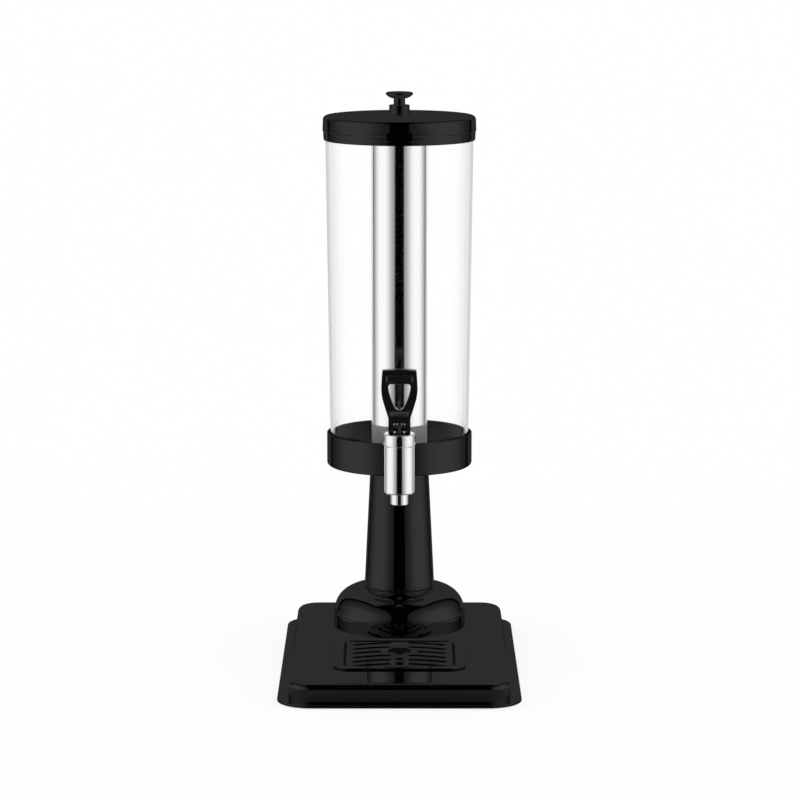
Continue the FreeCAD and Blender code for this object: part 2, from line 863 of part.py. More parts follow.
def build_collar_hub():
    """The flanged hub that plugs into the column's top and clamps the collar down on it."""
    well = hub_radius - S.spigot_wall
    floor = collar_low + S.collar_floor
    flange = hub_radius + S.hub_flange_width
    return turned("collar_hub", [
        (rod_hole, spigot_low),
        (hub_radius, spigot_low),
        (hub_radius, floor),
        (flange, floor),
        (flange, floor + S.hub_flange_thickness),
        (well, floor + S.hub_flange_thickness),
        (well, well_floor),
        (rod_hole, well_floor),
    ], tower_y)


def build_vessel_cushion():
    """The soft ring between the collar's floor and the vessel."""
    outer = vessel_foot - S.vessel_round
    inner = outer - S.cushion_width
    return ring("vessel_cushion", inner, outer, cushion_low, vessel_low, tower_y)


def build_vessel():
    """The clear vessel: a closed floor with a low ring that guides the ice tube."""
    guide_inside = S.tube_radius + S.guide_gap
    guide_outside = guide_inside + S.guide_width
    guide_top = vessel_floor_top + S.guide_height
    slope = S.vessel_flare / S.vessel_height
    foot_inside = vessel_foot - S.vessel_wall + slope * S.vessel_floor
    body = turned("vessel", [
        (0, vessel_low),
        (vessel_foot - S.vessel_round, vessel_low, S.vessel_round, 1),
        (vessel_foot + slope * S.vessel_round, vessel_low + S.vessel_round),
        (vessel_mouth, vessel_top),
        (vessel_mouth - S.vessel_wall, vessel_top),
        (foot_inside, vessel_floor_top),
        (guide_outside, vessel_floor_top),
        (guide_outside, guide_top),
        (guide_inside, guide_top),
        (guide_inside, vessel_floor_top),
        (0, vessel_floor_top),
    ], tower_y)
    drill_front(body, S.shank_radius + S.shank_hole_gap)
    return body


# --- lid, ice tube and knob ------------------------------------------------------------------

def build_lid_shell():
    """The spun lid: flat top, rounded edge, upright skirt and a hem that curls in."""
    hem_inside = vessel_mouth + S.curl_gap
    hem_outside = hem_inside + S.curl_thickness
    curl_top = lid_low + S.curl_height
    height_square = S.curl_height * S.curl_height

    def curl_radius(inset):
        return (height_square + inset * inset) / (inset * 2)

    hole = S.stud_radius + S.stud_hole_gap
    inner_round = S.lid_round - S.lid_wall
    return turned("lid_shell", [
        (hem_inside, lid_low),
        (hem_outside, lid_low, curl_radius(lid_outside - hem_outside), 1),
        (lid_outside, curl_top),
        (lid_outside, lid_top - S.lid_round, S.lid_round, 1),
        (lid_outside - S.lid_round, lid_top),
        (hole, lid_top),
        (hole, lid_under),
        (lid_inside - inner_round, lid_under, inner_round, -1),
        (lid_inside, lid_under - inner_round),
        (lid_inside, curl_top, curl_radius(lid_inside - hem_inside), -1),
    ], tower_y)


def build_lid_gasket():
    """The soft ring inside the lid that meets the vessel's mouth."""
    outer = lid_inside - S.gasket_inset
    inner = vessel_mouth - S.vessel_wall - S.gasket_inset
    return ring("lid_gasket", inner, outer, gasket_low, lid_under, tower_y)


def build_tube_ring():
    """The ring under the lid that the ice tube screws into."""
    inner = S.tube_radius + S.ring_gap
    outer = inner + S.ring_wall
    hole = S.stud_radius + S.stud_hole_gap
    skirt_low = ring_under - S.ring_skirt
    return turned("tube_ring", [
        (hole, ring_under),
        (inner, ring_under),
        (inner, skirt_low),
        (outer, skirt_low),
        (outer, lid_under),
        (hole, lid_under),
    ], tower_y)


def build_ice_tube():
    """The steel tube for ice, its welded end and the seal at its top."""
    cap = tube_inside - S.thread_gap
    cap_top = tube_low + S.tube_cap_depth
    end = turned("ice_tube_base", [
        (0, tube_low),
        (cap, tube_low),
        (cap, cap_top),
        (cap - S.tube_wall, cap_top),
        (cap - S.tube_wall, tube_low + S.tube_wall),
        (0, tube_low + S.tube_wall),
    ], tower_y)
    seal_inside = tube_inside - S.tube_wall
    return [
        ring("ice_tube", tube_inside, S.tube_radius, tube_low, tube_top, tower_y),
        end,
        ring("tube_seal", seal_inside, S.tube_radius, tube_top, ring_under, tower_y),
    ]


def build_knob():
    """The knob with its stud, the washer and collar under it, and the nut inside the lid."""
    washer_top = lid_top + S.knob_washer_thickness
    base_top = washer_top + S.knob_base_height
    flare_low = base_top + S.knob_neck_height
    edge_low = flare_low + S.knob_flare_height
    edge_top = edge_low + S.knob_edge
    shoulder = S.knob_radius - S.knob_shoulder_inset
    shoulder_top = edge_top + S.knob_shoulder_height
    shoulder_round = (
        S.knob_shoulder_inset * S.knob_shoulder_inset + S.knob_shoulder_height * S.knob_shoulder_height
    ) / (S.knob_shoulder_inset * 2)
    crown_radius = (shoulder * shoulder + S.knob_crown * S.knob_crown) / (S.knob_crown * 2)
    nut_low = ring_under - S.stud_nut_height
    bore = S.stud_radius + S.thread_gap
    knob = turned("knob", [
        (0, nut_low - S.rod_end_length),
        (S.stud_radius, nut_low - S.rod_end_length),
        (S.stud_radius, base_top),
        (S.knob_neck_radius, base_top),
        (S.knob_neck_radius, flare_low, S.knob_flare_round, 1),
        (S.knob_radius, edge_low),
        (S.knob_radius, edge_top, shoulder_round, 1),
        (shoulder, shoulder_top, crown_radius, 1),
        (0, shoulder_top + S.knob_crown),
    ], tower_y)
    return [
        ring("knob_washer", bore, S.knob_washer_radius, lid_top, washer_top, tower_y),
        ring("knob_base", bore, S.knob_base_radius, washer_top, base_top, tower_y),
        knob,
        hex_nut("knob_nut", S.stud_nut_flats, bore, nut_low, S.stud_nut_height, tower_y),
    ]


# --- tap -------------------------------------------------------------------------------------

washer_outer = S.collar_radius + S.shank_washer_thickness
drilled_gap = S.shank_radius + S.shank_hole_gap
nut_face = vessel_foot - S.vessel_wall - S.nut_seal_thickness
nut_end = nut_face - S.shank_nut_height
shank_end = nut_end - S.shank_end_length


def wall_cone(name, inset):
    """Return the vessel's outer or inner form as a solid cone, drawn in by inset."""
    cone = document.addObject("Part::Cone", name)
    bound(cone, "Radius1", vessel_foot - inset)
    bound(cone, "Radius2", vessel_mouth - inset)
    bound(cone, "Height", S.vessel_height)
    bound(cone, "Placement.Base.y", tower_y)
    bound(cone, "Placement.Base.z", vessel_low)
    return cone


def collar_rod(name, radius):
    """Return a solid round form on the tower's axis, as tall as the collar."""
    form = document.addObject("Part::Cylinder", name)
    bound(form, "Radius", radius)
    bound(form, "Height", S.collar_height)
    bound(form, "Placement.Base.y", tower_y)
    bound(form, "Placement.Base.z", collar_low)
    return form


def shank_rod(name, radius, start, finish):
    """Return a rod on the shank's line between two distances in front of the tower's axis."""
    rod = document.addObject("Part::Cylinder", name)
    rod.Placement.Rotation = FreeCAD.Rotation(FreeCAD.Vector(1, 0, 0), 90)
    bound(rod, "Radius", radius)
    bound(rod, "Height", finish - start)
    bound(rod, "Placement.Base.y", tower_y - start)
    bound(rod, "Placement.Base.z", shank_z)
    return rod


def combine(kind, name, base, tool):
    """Return the cut or common of two forms."""
    result = document.addObject("Part::" + kind, name)
    result.Base = base
    result.Tool = tool
    return result


def saddle_ring(name, radius, start, finish, keep=None, clear=None):
    """Return a washer on the shank whose faces follow the round walls beside it."""
    disc = shank_rod(name + "_disc", radius, start, finish)
    bore = shank_rod(name + "_bore", drilled_gap, start - 1, finish + 1)
    if keep is None and clear is None:
        return combine("Cut", name, disc, bore)
    shape = combine("Cut", name + "_blank", disc, bore)
    if keep is not None and clear is not None:
        shape = combine("Common", name + "_kept", shape, keep)
    elif keep is not None:
        return combine("Common", name, shape, keep)
    return combine("Cut", name, shape, clear)


def build_shank_washers():
    """The chromed saddle outside the collar and the two seals either side of the vessel's wall."""
    squeeze = S.seal_squeeze
    outer = saddle_ring(
        "shank_washer", S.shank_washer_radius, vessel_foot, washer_outer,
        clear=collar_rod("shank_washer_wall", S.collar_radius + squeeze),
    )
    middle = saddle_ring(
        "wall_seal", S.seal_radius, vessel_foot - S.vessel_wall * 2, S.collar_radius,
        keep=collar_rod("wall_seal_outside", collar_inside - squeeze),
        clear=wall_cone("wall_seal_inside", -squeeze),
    )
    inner = saddle_ring(
        "nut_seal", S.seal_radius, nut_face, S.collar_radius,
        keep=wall_cone("nut_seal_outside", S.vessel_wall + squeeze),
    )
    return [outer, middle, inner]


def build_shank_nut():
    """The thin nut inside the vessel that pulls the tap tight."""
    body = new_body("shank_nut", tower_y)
    sketch = sketch_on(body, "XZ_Plane", nut_end)
    draw(sketch, hexagon(S.shank_nut_flats, shank_z))
    draw_circle(sketch, S.shank_radius + S.thread_gap, ZERO, shank_z)
    pad(body, sketch, S.shank_nut_height)
    return body


def build_faucet_body():
    """The chromed barrel and spout, with the threaded shank that runs back into the vessel."""
    lip = S.spout_bore + S.seat_lip_width
    body = turned("faucet_body", [
        (S.spout_bore, spout_low),
        (S.spout_radius, spout_low),
        (S.spout_radius, barrel_low),
        (S.barrel_radius - S.barrel_chamfer, barrel_low),
        (S.barrel_radius, barrel_low + S.barrel_chamfer),
        (S.barrel_radius, barrel_top),
        (S.chamber_radius, barrel_top),
        (S.chamber_radius, seat_z),
        (lip, seat_z),
        (lip, seat_z + S.seat_lip),
        (S.spout_bore, seat_z + S.seat_lip),
    ], tap_y)
    reach = S.collar_radius + S.tap_offset
    wall_middle = (S.chamber_radius + S.barrel_radius) / 2 - S.shank_root
    shoulder = sketch_on(body, "XZ_Plane", -wall_middle)
    draw_circle(shoulder, S.shank_shoulder_radius, ZERO, shank_z)
    pad(body, shoulder, reach - washer_outer - wall_middle, backwards=True)
    shank = sketch_on(body, "XZ_Plane", -wall_middle)
    draw_circle(shank, S.shank_radius, ZERO, shank_z)
    pad(body, shank, reach - shank_end - wall_middle, backwards=True)
    bore = sketch_on(body, "XZ_Plane")
    draw_circle(bore, S.shank_bore, ZERO, shank_z)
    pocket(body, bore, reach)
    chamber = sketch_on(body, "XY_Plane", seat_z + S.seat_lip)
    draw_circle(chamber, S.chamber_radius)
    pocket(body, chamber, barrel_top - seat_z - S.seat_lip, backwards=True)
    return body


def build_faucet_bonnet():
    """The chromed cap with the spring's chamber and the stem's bore."""
    spigot = S.chamber_radius - S.bonnet_spigot_gap
    spigot_low = barrel_top - S.bonnet_spigot
    bore = S.stem_radius + S.stem_running_gap
    return turned("faucet_bonnet", [
        (S.spring_chamber_radius, spigot_low),
        (spigot, spigot_low),
        (spigot, bonnet_low),
        (S.bonnet_radius, bonnet_low),
        (S.bonnet_radius, bonnet_top - S.bonnet_round, S.bonnet_round, 1),
        (S.bonnet_radius - S.bonnet_round, bonnet_top),
        (bore, bonnet_top),
        (bore, spring_roof),
        (S.spring_chamber_radius, spring_roof),
    ], tap_y)


def build_bonnet_seal():
    """The thin seal between barrel and bonnet."""
    inner = S.chamber_radius
    outer = S.barrel_radius - S.bonnet_seal_inset
    return ring("bonnet_seal", inner, outer, barrel_top, bonnet_low, tap_y)


def build_seat_cup():
    """The soft cup that closes the outlet, with a socket for the stem."""
    cup_top = cup_low + S.cup_height
    socket = S.stem_radius + S.thread_gap
    return turned("seat_cup", [
        (0, cup_low),
        (S.cup_lip_radius, cup_low),
        (S.cup_radius, cup_low + S.cup_lip_height),
        (S.cup_radius, cup_top - S.cup_crown),
        (S.cup_radius - S.cup_crown, cup_top),
        (socket, cup_top),
        (socket, cup_top - S.cup_socket_depth),
        (0, cup_top - S.cup_socket_depth),
    ], tap_y)


def build_faucet_stem():
    """The stem with the spring's flange and an eye for the lever's pin."""
    low = cup_low + S.cup_height - S.cup_socket_depth
    flange_top = flange_low + S.stem_flange_height
    top = pin_z + S.stem_tip
    body = turned("faucet_stem", [
        (0, low),
        (S.stem_radius, low),
        (S.stem_radius, flange_low),
        (S.stem_flange_radius, flange_low),
        (S.stem_flange_radius, flange_top),
        (S.stem_radius, flange_top),
        (S.stem_radius, top - S.pin_radius),
        (S.stem_radius - S.pin_radius, top),
        (0, top),
    ], tap_y)
    eye = sketch_on(body, "YZ_Plane")
    draw_circle(eye, S.pin_radius + S.pin_running_gap, ZERO, pin_z)
    pocket(body, eye, S.stem_radius * 4, symmetric=True)
    return body


def build_stem_spring():
    """The coil spring between the stem's flange and the bonnet's roof."""
    wire = S.spring_wire_radius.value
    low = flange_low.value + S.stem_flange_height.value + wire + S.spring_end_gap.value
    high = spring_roof.value - wire - S.spring_end_gap.value
    radius = S.spring_radius.value
    coil = Part.makeHelix((high - low) / S.spring_turns.value, high - low, radius)
    rise = (high - low) / S.spring_turns.value
    along_wire = FreeCAD.Vector(0, 2 * math.pi * radius, rise)
    section = Part.makeCircle(wire, FreeCAD.Vector(radius, 0, 0), along_wire)
    shape = Part.Wire(coil.Edges).makePipeShell([Part.Wire([section])], True, True)
    spring = document.addObject("Part::Feature", "stem_spring")
    spring.Label = "stem_spring"
    spring.Shape = shape
    spring.Placement = FreeCAD.Placement(FreeCAD.Vector(0, tap_y.value, low), FreeCAD.Rotation())
    return spring


def build_lever_pin():
    """The cross pin through the lever's cheeks and the stem's eye."""
    body = new_body("lever_pin", tap_y, pin_z)
    sketch = sketch_on(body, "YZ_Plane")
    draw_circle(sketch, S.pin_radius)
    pad(body, sketch, S.lever_half_foot * 2, symmetric=True)
    return body


def build_lever_handle():
    """The black lever: a forked heel that cams on the bonnet, and a flat grip with a loop."""
    body = new_body("lever_handle", tap_y, pin_z)
    paddle = sketch_on(body, "XZ_Plane")
    half = S.lever_half_top
    crown_radius = (half * half + S.lever_crown * S.lever_crown) / S.lever_crown
    draw(paddle, [
        (-S.lever_half_waist, -S.heel_radius + S.pin_radius),
        (S.lever_half_waist, -S.heel_radius + S.pin_radius),
        (S.lever_half_waist, S.lever_foot_top),
        (S.lever_half_hip, S.lever_hip, S.lever_side_round, 1),
        (S.lever_half_shoulder, S.lever_shoulder),
        (S.lever_half_top, S.lever_top - S.lever_crown, crown_radius, 1),
        (-S.lever_half_top, S.lever_top - S.lever_crown),
        (-S.lever_half_shoulder, S.lever_shoulder, S.lever_side_round, 1),
        (-S.lever_half_hip, S.lever_hip),
        (-S.lever_half_waist, S.lever_foot_top),
    ])
    pad(body, paddle, S.lever_thickness, symmetric=True)
    bar = sketch_on(body, "XZ_Plane")
    bar_low = S.lever_top - S.lever_bar_height
    draw(bar, [
        (-S.lever_half_top, bar_low),
        (S.lever_half_top, bar_low),
        (S.lever_half_top, S.lever_top - S.lever_crown, crown_radius, 1),
        (-S.lever_half_top, S.lever_top - S.lever_crown),
    ])
    pad(body, bar, S.lever_bar_thickness, symmetric=True)
    heel = sketch_on(body, "YZ_Plane")
    front = S.heel_front + S.heel_radius
    draw(heel, [
        (-front, 0, S.heel_radius, 1),
        (-S.heel_front, -S.heel_radius),
        (S.heel_back - S.pin_radius, -S.heel_radius, S.pin_radius, 1),
        (S.heel_back, S.pin_radius - S.heel_radius),
        (S.heel_back, S.lever_foot_top - S.pin_radius),
        (S.lever_thickness / 2, S.lever_foot_top + S.pin_radius),
        (-S.lever_thickness / 2, S.lever_foot_top + S.pin_radius),
        (-front, S.lever_foot_top - S.heel_radius),
    ])
    pad(body, heel, S.lever_half_foot * 2, symmetric=True)
    loop = sketch_on(body, "XZ_Plane")
    loop_top = bar_low
    loop_widest = loop_top - S.loop_top_round
    draw(loop, [
        (-S.loop_half_foot, S.loop_foot, S.loop_foot_round, 1),
        (S.loop_half_foot, S.loop_foot, S.loop_side_round, 1),
        (S.loop_half_width, loop_widest, S.loop_top_round, 1),
        (S.loop_half_width - S.loop_top_round, loop_top),
        (S.loop_top_round - S.loop_half_width, loop_top, S.loop_top_round, 1),
        (-S.loop_half_width, loop_widest, S.loop_side_round, 1),
    ])
    pocket(body, loop, S.lever_bar_thickness * 2, symmetric=True)
    fork = sketch_on(body, "XZ_Plane")
    half_slot = S.stem_radius + S.slot_side_gap
    draw(fork, [
        (-half_slot, -S.heel_radius * 2),
        (half_slot, -S.heel_radius * 2),
        (half_slot, S.slot_roof),
        (-half_slot, S.slot_roof),
    ])
    pocket(body, fork, front * 4, symmetric=True)
    eye = sketch_on(body, "YZ_Plane")
    draw_circle(eye, S.pin_radius + S.pin_fit_gap)
    pocket(body, eye, S.lever_half_foot * 4, symmetric=True)
    return body


PIECES = [
    build_base_shell(),
    build_bottom_plate(),
    build_plate_screws(),
    build_rubber_feet(),
    build_drip_tray(),
    build_drip_grille(),
    build_pedestal_dome(),
    build_pedestal_column(),
    build_column_locator(),
    build_tie_rod(),
    *build_rod_fasteners(),
    build_collar_cup(),
    build_collar_hub(),
    build_vessel_cushion(),
    build_vessel(),
    build_lid_shell(),
    build_lid_gasket(),
    build_tube_ring(),
    *build_ice_tube(),
    *build_knob(),
    *build_shank_washers(),
    build_shank_nut(),
    build_faucet_body(),
    build_faucet_bonnet(),
    build_bonnet_seal(),
    build_seat_cup(),
    build_faucet_stem(),
    build_stem_spring(),
    build_lever_pin(),
    build_lever_handle(),
]

document.recompute()

for item in document.Objects:
    if "Invalid" in item.State or "Error" in item.State:
        raise RuntimeError("feature failed: %s %s" % (item.Name, item.State))
for piece in PIECES:
    if piece.Shape.isNull() or not piece.Shape.isValid() or not piece.Shape.Solids:
        raise RuntimeError("no sound solid in %s" % piece.Label)

os.makedirs("parts", exist_ok=True)
for piece in PIECES:
    piece.Shape.exportStep("parts/%s.step" % piece.Label)
    box = piece.Shape.BoundBox
    print("%-18s solids %d volume %10.1f z %6.1f..%6.1f" % (
        piece.Label, len(piece.Shape.Solids), piece.Shape.Volume, box.ZMin, box.ZMax))
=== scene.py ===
"""Looks of a table-top beer tower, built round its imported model.

Everything is in the model's own frame: +Z up from the table, the tap facing -Y. Sizes and places
of pieces are in millimetres, and the workbench turns them into Blender's metres. Shaders read
metres.
"""

import logging
import math
from collections.abc import Callable
from dataclasses import dataclass, field
from enum import Enum

import bpy
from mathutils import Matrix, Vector

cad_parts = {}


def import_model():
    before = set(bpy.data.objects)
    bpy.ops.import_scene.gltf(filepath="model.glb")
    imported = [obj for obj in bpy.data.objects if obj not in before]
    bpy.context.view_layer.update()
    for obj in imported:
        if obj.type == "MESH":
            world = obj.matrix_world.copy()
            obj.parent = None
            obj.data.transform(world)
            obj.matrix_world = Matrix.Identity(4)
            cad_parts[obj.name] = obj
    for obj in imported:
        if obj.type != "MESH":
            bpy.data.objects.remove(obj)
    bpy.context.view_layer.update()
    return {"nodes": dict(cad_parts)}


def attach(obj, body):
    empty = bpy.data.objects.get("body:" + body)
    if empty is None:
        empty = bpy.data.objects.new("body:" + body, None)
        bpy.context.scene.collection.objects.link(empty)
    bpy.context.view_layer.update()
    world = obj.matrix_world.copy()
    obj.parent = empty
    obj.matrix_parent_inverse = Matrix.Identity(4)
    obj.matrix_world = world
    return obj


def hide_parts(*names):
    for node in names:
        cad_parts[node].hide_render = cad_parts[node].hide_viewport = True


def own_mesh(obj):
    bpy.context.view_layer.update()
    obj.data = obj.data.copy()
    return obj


LOG = logging.getLogger("beer_tower")
MM = 0.001
DEGREES = 180 / math.pi

# Where the assemblies meet, in millimetres: the tower's and the tap's upright axes along Y, and
# the heights of the deck, of the tap's shank and of the lever's pin.
TOWER_Y = 64.0
TAP_Y = -27.0
DECK_TOP = 21.0
SHANK_HEIGHT = 193.5
PIN_HEIGHT = 224.0

Piece = bpy.types.Object
Pair = tuple[float, float]
Triple = tuple[float, float, float]
Outline = list[tuple[float, ...]]
Profile = tuple[Pair, ...]


# ------------------------------------------------------------------ shader maths

class Socket:
    """A shader output that can be used in Python expressions."""

    def __init__(self, graph: "Graph", output: bpy.types.NodeSocket) -> None:
        """Keep the graph that makes new nodes, and the output that this wraps."""
        self.graph = graph
        self.output = output

    def math(self, operation: str, *others: object) -> "Socket":
        """Send this and others, each a Socket or a number, through a Math node."""
        return self.graph.math(operation, self, *others)

    def __add__(self, other: object) -> "Socket":
        """Sum."""
        return self.math("ADD", other)

    def __sub__(self, other: object) -> "Socket":
        """Difference."""
        return self.math("SUBTRACT", other)

    def __rsub__(self, other: object) -> "Socket":
        """Difference, this one taken from a number."""
        return self.graph.math("SUBTRACT", other, self)

    def __mul__(self, other: object) -> "Socket":
        """Product."""
        return self.math("MULTIPLY", other)

    __rmul__ = __mul__

    def __truediv__(self, other: object) -> "Socket":
        """Quotient."""
        return self.math("DIVIDE", other)

    def smooth(self, low: float, high: float, start: float = 0.0, end: float = 1.0) -> "Socket":
        """Ease from start to end while this goes from low to high."""
        return self.graph.node("ShaderNodeMapRange", {"interpolation_type": "SMOOTHSTEP"},
                               {0: self, 1: low, 2: high, 3: start, 4: end})


class Graph:
    """The node tree of a material or of the world, with a single method that makes any node."""

    def __init__(self, owner: bpy.types.Material | bpy.types.World) -> None:
        """Empty the owner's tree.

        Args:
            owner: the material or world whose tree this is.
        """
        owner.use_nodes = True
        self.owner = owner
        self.tree = owner.node_tree
        self.tree.nodes.clear()

    @classmethod
    def of_material(cls, name: str) -> "Graph":
        """Start a new material with that name."""
        return cls(bpy.data.materials.new(name))

    def node(self, kind: str, settings: dict[str, object] | None = None,
             sockets: dict[int | str, object] | None = None,
             output: int | str | None = 0) -> Socket | None:
        """Add a node.

        Args:
            kind: the node's type.
            settings: its properties, set before its sockets; "stops" fills a colour ramp.
            sockets: values or Sockets for its inputs, by name or number.
            output: which output to return, or None for a node without one.

        Returns:
            That output.
        """
        made = self.tree.nodes.new(kind)
        for key, value in (settings or {}).items():
            if key == "stops":
                self._fill_ramp(made.color_ramp, value)
            else:
                setattr(made, key, value)
        for key, value in (sockets or {}).items():
            target = made.inputs[key]
            if isinstance(value, Socket):
                self.tree.links.new(value.output, target)
            else:
                target.default_value = value
        return None if output is None else Socket(self, made.outputs[output])

    @staticmethod
    def _fill_ramp(ramp: bpy.types.ColorRamp, stops: list[tuple[float, tuple]]) -> None:
        """Give a colour ramp its stops.

        Args:
            ramp: the ramp.
            stops: each a place and a colour.
        """
        while len(ramp.elements) < len(stops):
            ramp.elements.new(0.5)
        for element, (place, colour) in zip(ramp.elements, stops):
            element.position = place
            element.color = colour

    def math(self, operation: str, *values: object) -> Socket:
        """Add a Math node with its inputs, each a Socket or a number."""
        return self.node("ShaderNodeMath", {"operation": operation}, dict(enumerate(values)))

    def number(self, value: float) -> Socket:
        """Wrap a number of the studio's own, which no piece of the tower reads.

        Args:
            value: the number.

        Returns:
            The number as a socket.
        """
        made = self.node("ShaderNodeValue")
        made.output.default_value = value
        return made

    def along(self, axis: str, space: str = "Object") -> Socket:
        """How far along an axis a point lies in the piece's space, or a ray looks in the world."""
        place = self.node("ShaderNodeTexCoord", output=space)
        return self.node("ShaderNodeSeparateXYZ", sockets={0: place}, output=axis)

    def length(self, first: Socket, second: Socket) -> Socket:
        """How far two distances at right angles reach together."""
        return (first * first + second * second).math("POWER", 0.5)

    def ray(self, kind: str) -> Socket:
        """One for rays of a kind that the Light Path node names."""
        return self.node("ShaderNodeLightPath", output=kind)

    def mirrored(self) -> Socket:
        """One for rays that gloss has turned back, also when they then pass clear walls."""
        return self.ray("Glossy Depth").math("MINIMUM", 1.0)

    def noise(self, scale: float, detail: float, stretch: Triple = (1, 1, 1)) -> Socket:
        """Add a noise in the piece's own space.

        Args:
            scale: how many features fit in a metre.
            detail: how many finer layers it has.
            stretch: how much each axis is scaled before the noise is read.

        Returns:
            The noise's value, from 0 to 1.
        """
        place = self.node("ShaderNodeTexCoord", output="Object")
        point = self.node("ShaderNodeMapping", sockets={"Vector": place, "Scale": stretch})
        values = {"Vector": point, "Scale": scale, "Detail": detail}
        return self.node("ShaderNodeTexNoise", sockets=values)

    def bump(self, height: Socket, strength: float, distance: float) -> Socket:
        """A normal bent by a height."""
        values = {"Height": height, "Strength": strength, "Distance": distance}
        return self.node("ShaderNodeBump", sockets=values)

    def surface(self, values: dict[str, object]) -> Socket:
        """A Principled surface with some of its values set."""
        return self.node("ShaderNodeBsdfPrincipled", sockets=values)

    def light(self, kind: str, strength: object = 1.0) -> Socket:
        """White light from an Emission or a Background node."""
        return self.node(kind, sockets={"Color": (1, 1, 1, 1), "Strength": strength})

    def blend(self, share: object, first: Socket, second: Socket) -> Socket:
        """Mix two shaders, the second by its share."""
        return self.node("ShaderNodeMixShader", sockets={0: share, 1: first, 2: second})

    def finish(self, surface: Socket, kind: str = "ShaderNodeOutputMaterial") -> object:
        """Send a surface to the tree's output and return the material or world."""
        self.node(kind, sockets={"Surface": surface}, output=None)
        return self.owner


# ------------------------------------------------------------------ finishes

@dataclass(frozen=True)
class GlossBlack:
    """A deep black lacquer that mirrors the same small share at every angle.

    The gloss is a thin share of a bright mirror over a matt black, with faint haze and dust in
    its roughness and the slow ripple of a polished skin. Where another glossy piece shows it, it
    mirrors far more, so that the pieces keep the studio's light in each other. A round spot on
    the middle line, its centre given along Y, may be matt. Each noise is a scale and a detail.
    """

    name: str
    body: float = 0.0006
    mirror: float = 0.034
    mirror_in_gloss: float = 0.9
    roughness: float = 0.012
    cloud: Pair = (45.0, 4.0)
    haze: float = 0.012
    body_haze: float = 0.2
    body_roughness: float = 0.4
    speck: Pair = (1500.0, 1.0)
    speck_edge: Pair = (0.72, 0.78)
    dust: float = 0.1
    wave: Pair = (18.0, 1.0)
    ripple: float = 0.012
    ripple_depth: float = 0.002
    matt_centre: float | None = None
    matt_edge: Pair = (0.00987, 0.0105)
    matt_share: float = 0.15

    def make(self) -> bpy.types.Material:
        """Build the material.

        Returns:
            The material.
        """
        graph = Graph.of_material(self.name)
        cloud = graph.noise(*self.cloud)
        specks = graph.noise(*self.speck).smooth(*self.speck_edge)
        skin = graph.surface({
            "Base Color": (self.body,) * 3 + (1,),
            "Roughness": cloud * self.body_haze + self.body_roughness,
            "Specular IOR Level": 0.0,
        })
        gloss = graph.surface({
            "Base Color": (1, 1, 1, 1),
            "Metallic": 1.0,
            "Roughness": cloud * self.haze + specks * self.dust + self.roughness,
            "Normal": graph.bump(graph.noise(*self.wave), self.ripple, self.ripple_depth),
        })
        share = graph.mirrored() * (self.mirror_in_gloss - self.mirror) + self.mirror
        if self.matt_centre is not None:
            distance = graph.length(graph.along("X"), graph.along("Y") - self.matt_centre)
            share = share * distance.smooth(*self.matt_edge, self.matt_share, 1.0)
        return graph.finish(graph.blend(share, skin, gloss))


@dataclass(frozen=True)
class Grained:
    """A metal, rubber or moulded plastic whose grain shows in its relief and its roughness.

    The roughness rises from its least value by the grain, or by a coarser wear where there is
    one. Both are a noise's scale and detail.
    """

    name: str
    colour: Triple
    roughness: float
    spread: float = 0.02
    relief: float = 0.02
    relief_depth: float = 0.0001
    metallic: float = 1.0
    index: float = 1.5
    grain: Pair = (400.0, 2.0)
    wear: Pair | None = None

    def make(self) -> bpy.types.Material:
        """Build the material.

        Returns:
            The material.
        """
        graph = Graph.of_material(self.name)
        grain = graph.noise(*self.grain)
        wear = graph.noise(*self.wear) if self.wear else grain
        return graph.finish(graph.surface({
            "Base Color": (*self.colour, 1),
            "Metallic": self.metallic,
            "Roughness": wear * self.spread + self.roughness,
            "IOR": self.index,
            "Normal": graph.bump(grain, self.relief, self.relief_depth),
        }))


def soft(name: str, colour: Triple, roughness: float) -> Grained:
    """A rubber, silicone or dull plastic."""
    return Grained(name, colour, roughness, spread=0.1, relief=0.1, relief_depth=0.0003,
                   metallic=0.0, grain=(1200.0, 3.0))


@dataclass(frozen=True)
class TubeSteel:
    """Steel polished along the tube, with a flat grey foot that is painted shade, where the tube
    stands in the collar.
    """

    name: str
    polished: Triple = (0.97, 0.97, 0.97)
    painted_shade_grey: Triple = (0.34, 0.34, 0.34)
    # Below this height, in metres, the steel turns to the painted shade grey of the collar.
    foot: float = 0.212
    edge: float = 0.0006
    roughness: float = 0.07
    painted_shade_roughness: float = 0.5
    brushing: tuple = (700.0, 3.0, (1, 1, 0.015))
    grain: float = 0.05
    grain_depth: float = 0.0001

    def make(self) -> bpy.types.Material:
        """Build the material.

        Returns:
            The material.
        """
        graph = Graph.of_material(self.name)
        lines = graph.noise(*self.brushing)
        # Painted shade: the steel's foot inside the collar is a flat, rough grey instead of a
        # mirror.
        painted_shade = graph.along("Z").smooth(self.foot - self.edge, self.foot + self.edge, 1.0, 0.0)
        colour = graph.node("ShaderNodeMix", {"data_type": "RGBA"}, {
            0: painted_shade, 6: (*self.polished, 1), 7: (*self.painted_shade_grey, 1)}, output=2)
        return graph.finish(graph.surface({
            "Base Color": colour,
            "Metallic": 1 - painted_shade,
            "Roughness": lines * self.grain + self.roughness + painted_shade * self.painted_shade_roughness,
            "Normal": graph.bump(lines, self.grain, self.grain_depth),
        }))


@dataclass(frozen=True)
class ClearPlastic:
    """Clear, polished plastic."""

    name: str
    index: float = 1.2

    def make(self) -> bpy.types.Material:
        """Build the material."""
        graph = Graph.of_material(self.name)
        return graph.finish(graph.surface({
            "Base Color": (1, 1, 1, 1), "Roughness": 0.0, "IOR": self.index,
            "Transmission Weight": 1.0}))


